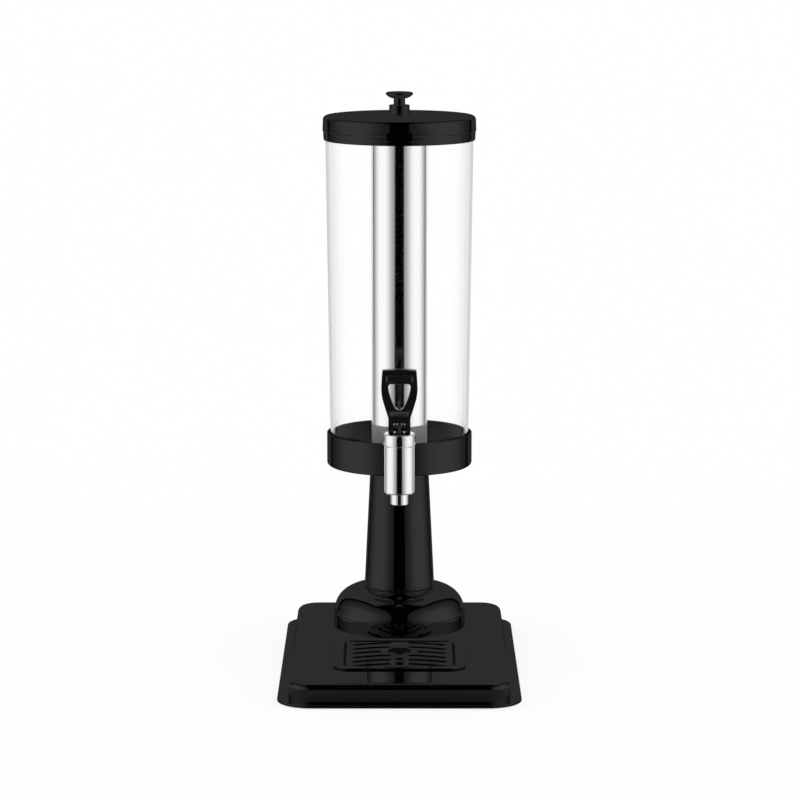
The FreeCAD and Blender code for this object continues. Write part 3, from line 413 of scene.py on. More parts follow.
class Finish(Enum):
    """The finishes that the tower's pieces share."""

    LACQUER = GlossBlack("black_lacquer")
    DECK = GlossBlack("deck_black", body=0.001, mirror=0.036, mirror_in_gloss=0.45,
                      roughness=0.02)
    GRILLE = GlossBlack("grille_black", body=0.001, mirror=0.036, mirror_in_gloss=0.45,
                        roughness=0.02, matt_centre=-0.04575)
    GRIP = Grained("grip_black", (0.0045, 0.0045, 0.0047), 0.24, spread=0.08, relief=0.08,
                   relief_depth=0.0002, metallic=0.0, index=1.48, grain=(2600.0, 2.0),
                   wear=(60.0, 3.0))
    CHROME = Grained("tap_chrome", (0.93, 0.93, 0.94), 0.1)
    TUBE = TubeSteel("tube_steel")
    ZINC = Grained("zinc_steel", (0.6, 0.6, 0.61), 0.3)
    RUBBER = soft("foot_rubber", (0.02, 0.02, 0.02), 0.55)
    SILICONE = soft("seal_silicone", (0.6, 0.6, 0.57), 0.4)
    NYLON = soft("grey_nylon", (0.07, 0.07, 0.072), 0.35)
    CLEAR = ClearPlastic("vessel_clear")


class Paintbox:
    """Makes each finish once and gives it to pieces."""

    def __init__(self) -> None:
        """Start with no material made."""
        self.made: dict[Finish, bpy.types.Material] = {}

    def dress(self, piece: Piece, finish: Finish) -> None:
        """Give a piece one finish all over.

        Args:
            piece: the piece.
            finish: the finish, which is made when it is first used.
        """
        if finish not in self.made:
            self.made[finish] = finish.value.make()
        piece.data.materials.clear()
        piece.data.materials.append(self.made[finish])


# ------------------------------------------------------------------ outlines

def shares(steps: int) -> list[float]:
    """Even shares from 0 to 1."""
    return [step / steps for step in range(steps + 1)]


def rounded(outline: Outline, steps: int = 5) -> Outline:
    """Round the corners of an outline that ask for it.

    Args:
        outline: corners as (radius, height) or (radius, height, rounding). It is a closed ring
            unless it starts on the axis.
        steps: how many straight bits make one rounding.

    Returns:
        The points of the outline, each (radius, height).
    """
    points: Outline = []
    count = len(outline)
    ends = (0, count - 1) if outline[0][0] == 0 else ()
    for index, corner in enumerate(outline):
        here = Vector(corner[:2])
        if len(corner) == 2 or index in ends:
            points.append(tuple(here))
            continue
        before = (Vector(outline[index - 1][:2]) - here).normalized()
        after = (Vector(outline[(index + 1) % count][:2]) - here).normalized()
        half = before.angle(after) / 2
        centre = here + (before + after).normalized() * (corner[2] / math.sin(half))
        reach = corner[2] / math.tan(half)
        first = here + before * reach - centre
        last = here + after * reach - centre
        points += [tuple(centre + first.slerp(last, share).normalized() * corner[2])
                   for share in shares(steps)]
    return points


def bell(start: Pair, end: Pair, fullness: float, steps: int = 18) -> Outline:
    """Curve from an upright edge to a flat one.

    Args:
        start: the lower, outer end, where the curve runs upright.
        end: the upper, inner end, where it runs flat.
        fullness: how far the handles reach, as a share of the distance.
        steps: how many straight bits make the curve.

    Returns:
        The points between the ends, both included.
    """
    low, high = Vector(start), Vector(end)
    spots = (low, Vector((low.x, low.y + (high.y - low.y) * fullness)),
             Vector((high.x + (low.x - high.x) * fullness, high.y)), high)
    points = []
    for share in shares(steps):
        rest = 1 - share
        weights = (rest ** 3, 3 * rest * rest * share, 3 * rest * share * share, share ** 3)
        total = sum((spot * weight for spot, weight in zip(spots, weights)), Vector((0, 0)))
        points.append(tuple(total))
    return points


def bow(start: Pair, end: Pair, sag: float, steps: int = 8) -> Outline:
    """Bow out to the right between two points.

    Args:
        start: where it starts.
        end: where it ends.
        sag: how far its middle stands off the straight line.
        steps: how many straight bits make it.

    Returns:
        The points, both ends included.
    """
    first, last = Vector(start), Vector(end)
    along = last - first
    right = Vector((along.y, -along.x)).normalized()
    return [tuple(first + along * share + right * (4 * sag * share * (1 - share)))
            for share in shares(steps)]


def follow(profile: Profile, height: float) -> float:
    """Read a profile at one height.

    Args:
        profile: the points, each (height, value).
        height: where it is read.

    Returns:
        The value there, which beyond the profile is that of its nearer end.
    """
    for (low, first), (high, last) in zip(profile, profile[1:]):
        if low <= height <= high:
            return first + (last - first) * (height - low) / (high - low)
    return profile[0][1] if height < profile[0][0] else profile[-1][1]


# ------------------------------------------------------------------ workbench

def deselect() -> None:
    """Leave edit mode and select nothing."""
    if bpy.context.mode != "OBJECT":
        bpy.ops.object.mode_set(mode="OBJECT")
    bpy.ops.object.select_all(action="DESELECT")


def inset(size: Triple, gap: float) -> Triple:
    """Draw a plate's width, depth and corner radius in by a gap all round."""
    width, depth, corner = size
    return width - gap * 2, depth - gap * 2, corner - gap


class Bend(Enum):
    """Which way a rounding runs. Those out of a flat have the sign of their way along Z."""

    ONTO_FLAT = 0
    UP_FROM_FLAT = 1
    DOWN_FROM_FLAT = -1


@dataclass
class Workbench:
    """Blender's modelling operators, used on one piece at a time, with sizes in millimetres."""

    sides: int = 144
    corner_steps: int = 14
    round_steps: int = 6
    weld: float = 0.002
    smooth_angle: float = 32.0
    bevel_steps: int = 3
    normal_weight: int = 80

    def take(self, name: str) -> Piece:
        """Name the new primitive, apply its place and start to edit all of it.

        Args:
            name: the piece's name.

        Returns:
            The piece, in edit mode.
        """
        piece = bpy.context.object
        piece.name = piece.data.name = name
        bpy.ops.object.transform_apply(location=True, rotation=True, scale=True)
        bpy.ops.object.mode_set(mode="EDIT")
        bpy.ops.mesh.select_mode(type="VERT")
        bpy.ops.mesh.select_all(action="SELECT")
        return piece

    def choose(self, piece: Piece) -> None:
        """Select one piece alone and make it active.

        Args:
            piece: the piece.
        """
        deselect()
        piece.select_set(True)
        bpy.context.view_layer.objects.active = piece

    def close(self) -> None:
        """Merge doubles, turn the faces outwards and leave edit mode."""
        bpy.ops.mesh.select_all(action="SELECT")
        bpy.ops.mesh.remove_doubles(threshold=self.weld * MM)
        bpy.ops.mesh.normals_make_consistent(inside=False)
        bpy.ops.object.mode_set(mode="OBJECT")

    def clean(self, piece: Piece) -> None:
        """Merge a piece's doubles and turn its faces outwards.

        Args:
            piece: the piece, in object mode.
        """
        self.choose(piece)
        bpy.ops.object.mode_set(mode="EDIT")
        self.close()

    def lay(self, piece: Piece, turn: Triple, spot: Triple) -> None:
        """Turn a piece about the origin, move it and apply both.

        Args:
            piece: the piece, made round the origin.
            turn: how many degrees it turns about each axis.
            spot: where the origin's point of the piece goes.
        """
        self.choose(piece)
        piece.rotation_euler = [math.radians(angle) for angle in turn]
        piece.location = [part * MM for part in spot]
        bpy.ops.object.transform_apply(location=True, rotation=True, scale=True)

    def move(self, across: float = 0.0, along: float = 0.0, up: float = 0.0) -> None:
        """Extrude what is selected and move it."""
        shift = {"value": (across * MM, along * MM, up * MM)}
        bpy.ops.mesh.extrude_region_move(TRANSFORM_OT_translate=shift)

    def scale(self, ratio: Triple, centre: Triple) -> None:
        """Scale what is selected about a point."""
        spot = tuple(part * MM for part in centre)
        bpy.ops.transform.resize(value=ratio, center_override=spot)

    def step(self, inward: float, up: float) -> None:
        """Inset the selected face and raise it."""
        bpy.ops.mesh.inset(thickness=inward * MM, depth=up * MM, use_even_offset=True)

    def roll(self, radius: float, bend: Bend = Bend.ONTO_FLAT) -> None:
        """Round the selected face's edge over a quarter turn.

        Args:
            radius: the rounding's radius.
            bend: which way it runs.
        """
        turns = [math.pi / 2 * share for share in shares(self.round_steps)]
        for start, end in zip(turns, turns[1:]):
            early = radius * (math.sin(end) - math.sin(start))
            late = radius * (math.cos(start) - math.cos(end))
            if bend is Bend.ONTO_FLAT:
                self.step(late, early)
            else:
                self.step(early, late * bend.value)

    def turned(self, name: str, outline: Outline, middle: float) -> Piece:
        """Draw a circle up ring by ring along an outline.

        Args:
            name: the piece's name.
            outline: the corners, as for rounded().
            middle: where the axis stands along Y.

        Returns:
            The piece, in object mode.
        """
        deselect()
        points = rounded(outline)
        on_axis = points[0][0] == 0
        rings = points[1:] if on_axis else points + points[:1]
        radius, height = rings[0]
        bpy.ops.mesh.primitive_circle_add(
            vertices=self.sides, radius=radius * MM, location=(0, middle * MM, height * MM),
            fill_type="TRIFAN" if on_axis else "NOTHING")
        piece = self.take(name)
        if on_axis:
            bpy.ops.mesh.select_mode(type="EDGE")
            bpy.ops.mesh.select_all(action="DESELECT")
            bpy.ops.mesh.select_non_manifold()
        for wide, high in rings[1:]:
            shift = {"value": (0, 0, (high - height) * MM)}
            bpy.ops.mesh.extrude_edges_move(TRANSFORM_OT_translate=shift)
            if wide == 0:
                bpy.ops.mesh.merge(type="CENTER")
                break
            if wide != radius:
                self.scale((wide / radius, wide / radius, 1), (0, middle, high))
            radius, height = wide, high
        self.close()
        return piece

    def rod(self, name: str, radius: float, low: float, high: float, middle: float) -> Piece:
        """Turn a plain upright rod between two heights."""
        return self.turned(name, [(0, low), (radius, low), (radius, high), (0, high)], middle)

    def lathe(self, name: str, outline: Outline, middle: float = TOWER_Y,
              drill: Piece | None = None) -> Piece:
        """Turn a piece, bore it if asked and shade it.

        Args:
            name: the piece's name.
            outline: the corners, as for rounded().
            middle: where the axis stands along Y.
            drill: a cutter that bores it, if there is one.

        Returns:
            The finished piece.
        """
        piece = self.turned(name, outline, middle)
        if drill:
            self.carve(piece, drill)
        return self.shade(piece)

    def slab(self, name: str, size: Triple, height: float, middle: float) -> Piece:
        """Start a flat plate with round corners and leave its face selected in edit mode.

        Args:
            name: the piece's name.
            size: its size along X and along Y, and the radius of its corners.
            height: where it lies along Z.
            middle: where its middle lies along Y.

        Returns:
            The piece, in edit mode.
        """
        width, depth, corner = size
        deselect()
        bpy.ops.mesh.primitive_plane_add(size=1, location=(0, middle * MM, height * MM))
        bpy.ops.transform.resize(value=(width * MM, depth * MM, 1))
        piece = self.take(name)
        bpy.ops.mesh.bevel(offset=corner * MM, segments=self.corner_steps, affect="VERTICES")
        bpy.ops.mesh.select_mode(type="FACE")
        bpy.ops.mesh.select_all(action="SELECT")
        return piece

    def block(self, name: str, size: Triple, low: float, high: float, middle: float) -> Piece:
        """Raise a plate with round corners from one height to another.

        Args:
            name: the piece's name.
            size: as for slab().
            low: where it starts along Z.
            high: where it ends along Z.
            middle: where its middle lies along Y.

        Returns:
            The piece, in object mode.
        """
        piece = self.slab(name, size, low, middle)
        self.move(up=high - low)
        self.close()
        return piece

    def swept(self, name: str, sections: Outline, origin: Pair) -> Piece:
        """Draw an oblong section up through a list of others, as one half of a mirrored piece.

        Args:
            name: the piece's name.
            sections: each (height, inner x, outer x, front y, back y).
            origin: the y and z that the sections are measured from.

        Returns:
            The half piece, in object mode.
        """
        deselect()
        height, inner, outer, front, back = sections[0]
        spot = ((inner + outer) / 2, origin[0] + (front + back) / 2, origin[1] + height)
        bpy.ops.mesh.primitive_plane_add(size=1, location=tuple(part * MM for part in spot))
        bpy.ops.transform.resize(value=((outer - inner) * MM, (back - front) * MM, 1))
        piece = self.take(name)
        for section in sections[1:]:
            last = (outer - inner, back - front)
            height, inner, outer, front, back = section
            centre = ((inner + outer) / 2, origin[0] + (front + back) / 2, origin[1] + height)
            self.move(*(new - old for new, old in zip(centre, spot)))
            self.scale(((outer - inner) / last[0], (back - front) / last[1], 1), centre)
            spot = centre
        self.close()
        return piece

    def pick(self, piece: Piece, mode: str, test: Callable[[list[Vector]], bool]) -> None:
        """Select the edges or faces whose corners pass a test, and leave the piece in edit mode.

        Args:
            piece: the piece.
            mode: EDGE or FACE.
            test: what the places of an edge's or a face's corners have to meet.
        """
        self.choose(piece)
        bpy.ops.object.mode_set(mode="EDIT")
        bpy.ops.mesh.select_mode(type=mode)
        bpy.ops.mesh.select_all(action="DESELECT")
        bpy.ops.object.mode_set(mode="OBJECT")
        mesh = piece.data
        for item in mesh.edges if mode == "EDGE" else mesh.polygons:
            item.select = test([mesh.vertices[index].co for index in item.vertices])
        bpy.ops.object.mode_set(mode="EDIT")

    def add(self, piece: Piece, kind: str, **settings: object) -> None:
        """Add a modifier to a piece, set it and apply it.

        Args:
            piece: the piece.
            kind: the modifier's type.
            settings: its properties by name.
        """
        self.choose(piece)
        bpy.ops.object.modifier_add(type=kind)
        modifier = piece.modifiers[-1]
        for key, value in settings.items():
            setattr(modifier, key, value)
        bpy.ops.object.modifier_apply(modifier=modifier.name)

    def carve(self, piece: Piece, tool: Piece, operation: str = "DIFFERENCE") -> None:
        """Cut a tool out of a piece, or unite the two, and throw the tool away."""
        self.add(piece, "BOOLEAN", operation=operation, object=tool, solver="EXACT")
        bpy.data.objects.remove(tool, do_unlink=True)

    def join(self, piece: Piece, *others: Piece) -> None:
        """Join pieces.

        Args:
            piece: the piece that keeps its name.
            others: the pieces that become part of it.
        """
        self.choose(piece)
        for other in others:
            other.select_set(True)
        bpy.ops.object.join()

    def shade(self, piece: Piece, bevel: float = 0.0) -> Piece:
        """Shade a piece smooth between its sharp edges.

        Args:
            piece: the piece.
            bevel: how wide its sharp edges are rounded first, or 0 for not at all.

        Returns:
            The same piece.
        """
        angle = math.radians(self.smooth_angle)
        if bevel:
            self.add(piece, "BEVEL", width=bevel * MM, segments=self.bevel_steps,
                     limit_method="ANGLE", angle_limit=angle, use_clamp_overlap=True)
        self.choose(piece)
        bpy.ops.object.shade_smooth_by_angle(angle=angle)
        self.add(piece, "WEIGHTED_NORMAL", keep_sharp=True, weight=self.normal_weight)
        return piece


@dataclass
class Part:
    """A finished piece, what it stands for, and whether its neighbours' gloss shows it."""

    piece: Piece
    body: str
    nodes: tuple[str, ...]
    finish: Finish
    slot: str
    in_gloss: bool = True

    def hand_over(self, paints: Paintbox) -> None:
        """Dress the piece, let it ride on its body and replace its nodes.

        Args:
            paints: where the finishes are made.
        """
        paints.dress(self.piece, self.finish)
        self.piece.visible_glossy = self.in_gloss
        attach(self.piece, self.body)
        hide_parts(*self.nodes)
        LOG.info("%s rides on %s and stands for %s", self.piece.name, self.body,
                 ", ".join(self.nodes))


# ------------------------------------------------------------------ base

@dataclass
class Base:
    """The deck with its lip, the drip tray and its grille.

    The deck, the opening, the tray and the grille are each a width, a depth and the radius of
    the corners.
    """

    bench: Workbench
    deck: Triple = (194.5, 313.5, 20.25)
    lip: float = 9.75
    lip_thickness: float = 2.5
    lip_round: float = 1.0
    foot: float = 1.0
    deck_round: float = 6.0
    forward: float = 2.6
    lip_fillet: float = 0.4
    wall: float = 2.5
    rod_hole: float = 4.4
    opening: Triple = (104.2, 97.2, 10.6)
    tray_middle: float = -56.0
    tray: Triple = (118.0, 111.0, 16.0)
    rim_height: float = 1.7
    rim_round: float = 0.8
    undercut: float = 0.6
    weld_gap: float = 0.01
    recess: float = 9.0
    recess_depth: float = 2.8
    recess_slope: float = 2.2
    ledge: float = 2.5
    well: float = 11.0
    sheet: float = 1.4
    grille: Triple = (94.8, 92.0, 7.6)
    grille_low: float = 20.0
    grille_thickness: float = 2.0
    grille_round: float = 0.5
    slot_rows: int = 6
    slot_pitch: float = 15.5
    slot_width: float = 6.0
    slot_reach: float = 42.0
    slot_inner: float = 7.5
    slot_arch: float = 100.0
    slot_shift: float = 2.5
    slot_height: float = 4.0
    slot_round: float = 2.7
    slot_steps: int = 12
    slot_end_steps: int = 5
    end_share: float = 0.01
    edge_round: float = 0.55
    disc_row: int = 3
    disc_radius: float = 10.5
    disc_margin: float = 16.5
    disc_rise: float = 0.8

    def build_shell(self) -> Part:
        """Raise the lip and the deck from one plate, then open it below and for the tray.

        Returns:
            The finished part.
        """
        bench = self.bench
        shell = bench.slab("deck_shell", inset(self.deck, -self.lip), self.foot, 0)
        bench.move(up=self.lip_thickness - self.lip_round)
        bench.roll(self.lip_round)
        bench.step(self.lip - self.lip_round - self.lip_fillet, 0)
        depth = self.deck[1]
        bench.scale((1, 1 + self.forward / depth, 1), (0, depth / 2, 0))
        bench.roll(self.lip_fillet, Bend.UP_FROM_FLAT)
        wall_low = self.foot + self.lip_thickness + self.lip_fillet
        bench.move(up=DECK_TOP - self.deck_round - wall_low)
        bench.roll(self.deck_round)
        bench.close()
        under = DECK_TOP - self.wall
        for cutter in (
                bench.block("hollow", inset(self.deck, self.wall), -self.foot, under, 0),
                bench.block("opening", self.opening, under - self.wall,
                            DECK_TOP + self.wall * 2, self.tray_middle),
                bench.rod("rod_hole", self.rod_hole, self.foot, DECK_TOP + self.foot, TOWER_Y)):
            bench.carve(shell, cutter)
        bench.shade(shell)
        return Part(shell, "stand", ("base_shell",), Finish.DECK, "deck_black")

    def build_tray(self) -> Part:
        """Press the tray from one sheet: an undercut rim, a step for the grille and a well.

        Returns:
            The finished part.
        """
        bench = self.bench
        width, depth, _ = self.tray
        low = inset(self.tray, self.undercut)
        tray = bench.slab("drip_tray_pressed", low, DECK_TOP, self.tray_middle)
        bench.move(up=self.rim_height - self.rim_round)
        bench.scale((width / low[0], depth / low[1], 1), (0, self.tray_middle, 0))
        bench.roll(self.rim_round)
        bench.step(self.recess - self.rim_round * 2, 0)
        bench.roll(self.rim_round, Bend.DOWN_FROM_FLAT)
        bench.move(up=self.rim_round - self.recess_depth)
        bench.scale((1 - self.recess_slope * 2 / (width - self.recess * 2), 1, 1), (0, 0, 0))
        bench.step(self.ledge, 0)
        bench.move(up=-self.well)
        bench.close()
        bench.pick(tray, "FACE", lambda spots: all(
            abs(spot.z / MM - DECK_TOP) < self.weld_gap for spot in spots))
        bpy.ops.mesh.delete(type="FACE")
        bpy.ops.object.mode_set(mode="OBJECT")
        bench.add(tray, "SOLIDIFY", thickness=self.sheet * MM, offset=-1.0, use_even_offset=True)
        bench.shade(tray)
        return Part(tray, "tray", ("drip_tray",), Finish.DECK, "tray_black")

    def slot_cutter(self, name: str, row: float, side: int) -> Piece:
        """Bend one slot of the grille round its arch.

        Args:
            name: the cutter's name.
            row: the height of the slot's middle on the grille's own axis.
            side: 1 for the right of the spine, -1 for the left.

        Returns:
            The cutter, a solid with rounded ends.
        """
        bench = self.bench
        start = math.asin(self.slot_inner / self.slot_arch)
        turn = math.asin(self.slot_reach / self.slot_arch) - start
        centre = self.tray_middle + row - self.slot_arch
        middle = self.grille_low + self.grille_thickness / 2
        deselect()
        bpy.ops.mesh.primitive_plane_add(size=1, location=(0, 0, 0),
                                         rotation=(0, math.radians(90), 0))
        cutter = bench.take(name)
        bench.scale((1, self.slot_width * MM, self.slot_height * MM), (0, 0, 0))
        bpy.ops.transform.translate(value=(0, self.slot_arch * MM, 0))
        bpy.ops.mesh.spin(steps=self.slot_steps, angle=turn, center=(0, 0, 0), axis=(0, 0, 1))
        bench.close()

        def at_end(spots: list[Vector]) -> bool:
            """Find an edge that stands upright at one of the slot's ends.

            Args:
                spots: the places of the edge's two corners.

            Returns:
                Whether it stands there.
            """
            first, last = spots
            upright = (first - last).xy.length < self.weld_gap * MM
            share = abs(math.atan2(first.x, first.y)) / turn
            return upright and not self.end_share <= share <= 1 - self.end_share

        bench.pick(cutter, "EDGE", at_end)
        bpy.ops.mesh.bevel(offset=self.slot_round * MM, segments=self.slot_end_steps,
                           affect="EDGES")
        bench.close()
        bench.lay(cutter, (0, 0, -start * DEGREES), (0, 0, 0))
        cutter.scale = (side, 1, 1)
        bench.lay(cutter, (0, 0, 0), (0, centre, middle))
        bench.clean(cutter)
        return cutter

    def build_grille(self) -> Part:
        """Cut the arched slots either side of the spine and set the round boss over them.

        Returns:
            The finished part.
        """
        bench = self.bench
        low, top = self.grille_low, self.grille_low + self.grille_thickness
        grille = bench.block("drip_grille_plate", self.grille, low, top, self.tray_middle)
        rows = [self.slot_shift + self.slot_pitch * (row - (self.slot_rows - 1) / 2)
                for row in range(self.slot_rows)]
        for number, row in enumerate(rows):
            for side in (1, -1):
                cutter = self.slot_cutter("slot_%d_%d" % (number, side), row, side)
                bench.carve(grille, cutter)
        middle = self.tray_middle + rows[self.disc_row]
        apron = bench.rod("boss_apron", self.disc_margin, low, top, middle)
        bench.carve(grille, apron, "UNION")
        bench.shade(grille, self.edge_round)
        foot, crown = top - self.disc_rise, top + self.disc_rise
        boss = bench.lathe("boss", [
            (0, foot), (self.disc_radius, foot), (self.disc_radius, crown, self.grille_round),
            (0, crown)], middle)
        bench.join(grille, boss)
        return Part(grille, "grille", ("drip_grille",), Finish.GRILLE, "grille_black")

    def build(self) -> list[Part]:
        """Build the base's pieces."""
        return [self.build_shell(), self.build_tray(), self.build_grille()]


# ------------------------------------------------------------------ pedestal

@dataclass
class ShankHole:
    """The hole through the walls that the tap's shank passes, from start to end behind the tap."""

    radius: float = 7.3
    start: float = 20.0
    end: float = 42.0

    def drill(self, bench: Workbench) -> Piece:
        """Make its cutter.

        Args:
            bench: the workbench.

        Returns:
            A rod along Y that reaches through the front walls.
        """
        rod = bench.rod("drill", self.radius, self.start, self.end, 0)
        bench.lay(rod, (-90, 0, 0), (0, TAP_Y, SHANK_HEIGHT))
        return rod


@dataclass
class Pedestal:
    """The spun dome, the tapering column and the cup that holds the vessel."""

    bench: Workbench
    dome_radius: float = 61.0
    dome_top: float = 58.5
    band_top: float = 33.5
    band_step: float = 0.5
    band_round: float = 0.3
    dome_flat: float = 30.0
    dome_fullness: float = 0.62
    dome_hole: float = 12.0
    dome_wall: float = 1.5
    foot_radius: float = 32.3
    foot_bead: float = 0.5
    foot_height: float = 2.5
    foot_round: float = 1.2
    top_radius: float = 26.8
    column_wall: float = 2.0
    cup_low: float = 173.5
    cup_top: float = 204.0
    cup_radius: float = 67.0
    cup_wall: float = 2.0
    cup_floor: float = 2.5
    cup_round: float = 2.8
    rim_round: float = 0.7
    inner_round: float = 1.5
    hub_hole: float = 24.6

    def black_part(self, piece: Piece, node: str, in_gloss: bool = True) -> Part:
        """Make one of the pedestal's parts."""
        return Part(piece, "stand", (node,), Finish.LACQUER, "pedestal_black", in_gloss)

    def build_dome(self) -> Part:
        """Spin the dome: an upright band, a fine step and a full shoulder.

        Returns:
            The finished part.
        """
        hip = self.dome_radius - self.band_step
        under = self.dome_top - self.dome_wall
        inside = hip - self.dome_wall
        shoulder = (hip, self.band_top + self.band_step)
        outline = [(inside, DECK_TOP), (self.dome_radius, DECK_TOP),
                   (self.dome_radius, self.band_top, self.band_round)]
        outline += bell(shoulder, (self.dome_flat, self.dome_top), self.dome_fullness)
        outline += [(self.dome_hole, self.dome_top, self.band_round), (self.dome_hole, under)]
        outline += bell((inside, self.band_top), (self.dome_flat, under), self.dome_fullness)[::-1]
        return self.black_part(self.bench.lathe("dome_spun", outline), "pedestal_dome", False)

    def build_column(self) -> Part:
        """Turn the column with the rounded bead at its foot.

        Returns:
            The finished part.
        """
        bead = self.foot_radius + self.foot_bead
        bead_top = self.dome_top + self.foot_height
        outline = [(self.foot_radius - self.column_wall, self.dome_top),
                   (bead, self.dome_top, self.foot_round), (bead, bead_top, self.foot_bead),
                   (self.foot_radius, bead_top), (self.top_radius, self.cup_low),
                   (self.top_radius - self.column_wall, self.cup_low)]
        return self.black_part(self.bench.lathe("column_turned", outline), "pedestal_column")

    def build_cup(self) -> Part:
        """Turn the cup and drill it for the tap's shank.

        Returns:
            The finished part.
        """
        inside = self.cup_radius - self.cup_wall
        floor = self.cup_low + self.cup_floor
        outline = [(self.hub_hole, self.cup_low), (self.cup_radius, self.cup_low, self.cup_round),
                   (self.cup_radius, self.cup_top, self.rim_round),
                   (inside, self.cup_top, self.rim_round), (inside, floor, self.inner_round),
                   (self.hub_hole, floor)]
        drill = ShankHole().drill(self.bench)
        cup = self.bench.lathe("collar_cup_turned", outline, drill=drill)
        return self.black_part(cup, "collar_cup")

    def build(self) -> list[Part]:
        """Build the pedestal's pieces."""
        return [self.build_dome(), self.build_column(), self.build_cup()]


# ------------------------------------------------------------------ vessel

@dataclass
class Vessel:
    """The clear vessel and the steel tube for ice inside it."""

    bench: Workbench
    low: float = 177.5
    high: float = 492.5
    foot: float = 63.4
    mouth: float = 67.8
    wall: float = 2.5
    floor: float = 4.0
    foot_round: float = 2.0
    lip_round: float = 1.1
    inner_round: float = 1.6
    guide_inside: float = 26.65
    guide_wall: float = 2.0
    guide_height: float = 3.0
    guide_round: float = 0.7
    tube_radius: float = 25.65
    tube_wall: float = 0.8
    tube_low: float = 182.3
    tube_high: float = 490.6
    tube_round: float = 0.3

    def build_vessel(self) -> Part:
        """Turn the tapered clear wall with its floor, lip and guide ring, and drill it.

        Returns:
            The finished part.
        """
        floor = self.low + self.floor
        slope = (self.mouth - self.foot) / (self.high - self.low)
        inside = self.foot - self.wall + slope * self.floor
        guide = self.guide_inside + self.guide_wall
        guide_top = floor + self.guide_height
        outline = [(0, self.low), (self.foot, self.low, self.foot_round),
                   (self.mouth, self.high, self.lip_round),
                   (self.mouth - self.wall, self.high, self.lip_round),
                   (inside, floor, self.inner_round), (guide, floor),
                   (guide, guide_top, self.guide_round),
                   (self.guide_inside, guide_top, self.guide_round),
                   (self.guide_inside, floor), (0, floor)]
        drill = ShankHole().drill(self.bench)
        vessel = self.bench.lathe("vessel_clear_wall", outline, drill=drill)
        return Part(vessel, "stand", ("vessel",), Finish.CLEAR, "vessel_clear")

    def build_tube(self) -> Part:
        """Turn the thin ice tube.

        Returns:
            The finished part.
        """
        inside = self.tube_radius - self.tube_wall
        tube = self.bench.lathe("ice_tube_turned", [
            (inside, self.tube_low), (self.tube_radius, self.tube_low, self.tube_round),
            (self.tube_radius, self.tube_high, self.tube_round), (inside, self.tube_high)])
        return Part(tube, "lid", ("ice_tube",), Finish.TUBE, "tube_steel")

    def build(self) -> list[Part]:
        """Build the vessel's pieces."""
        return [self.build_vessel(), self.build_tube()]


# ------------------------------------------------------------------ lid

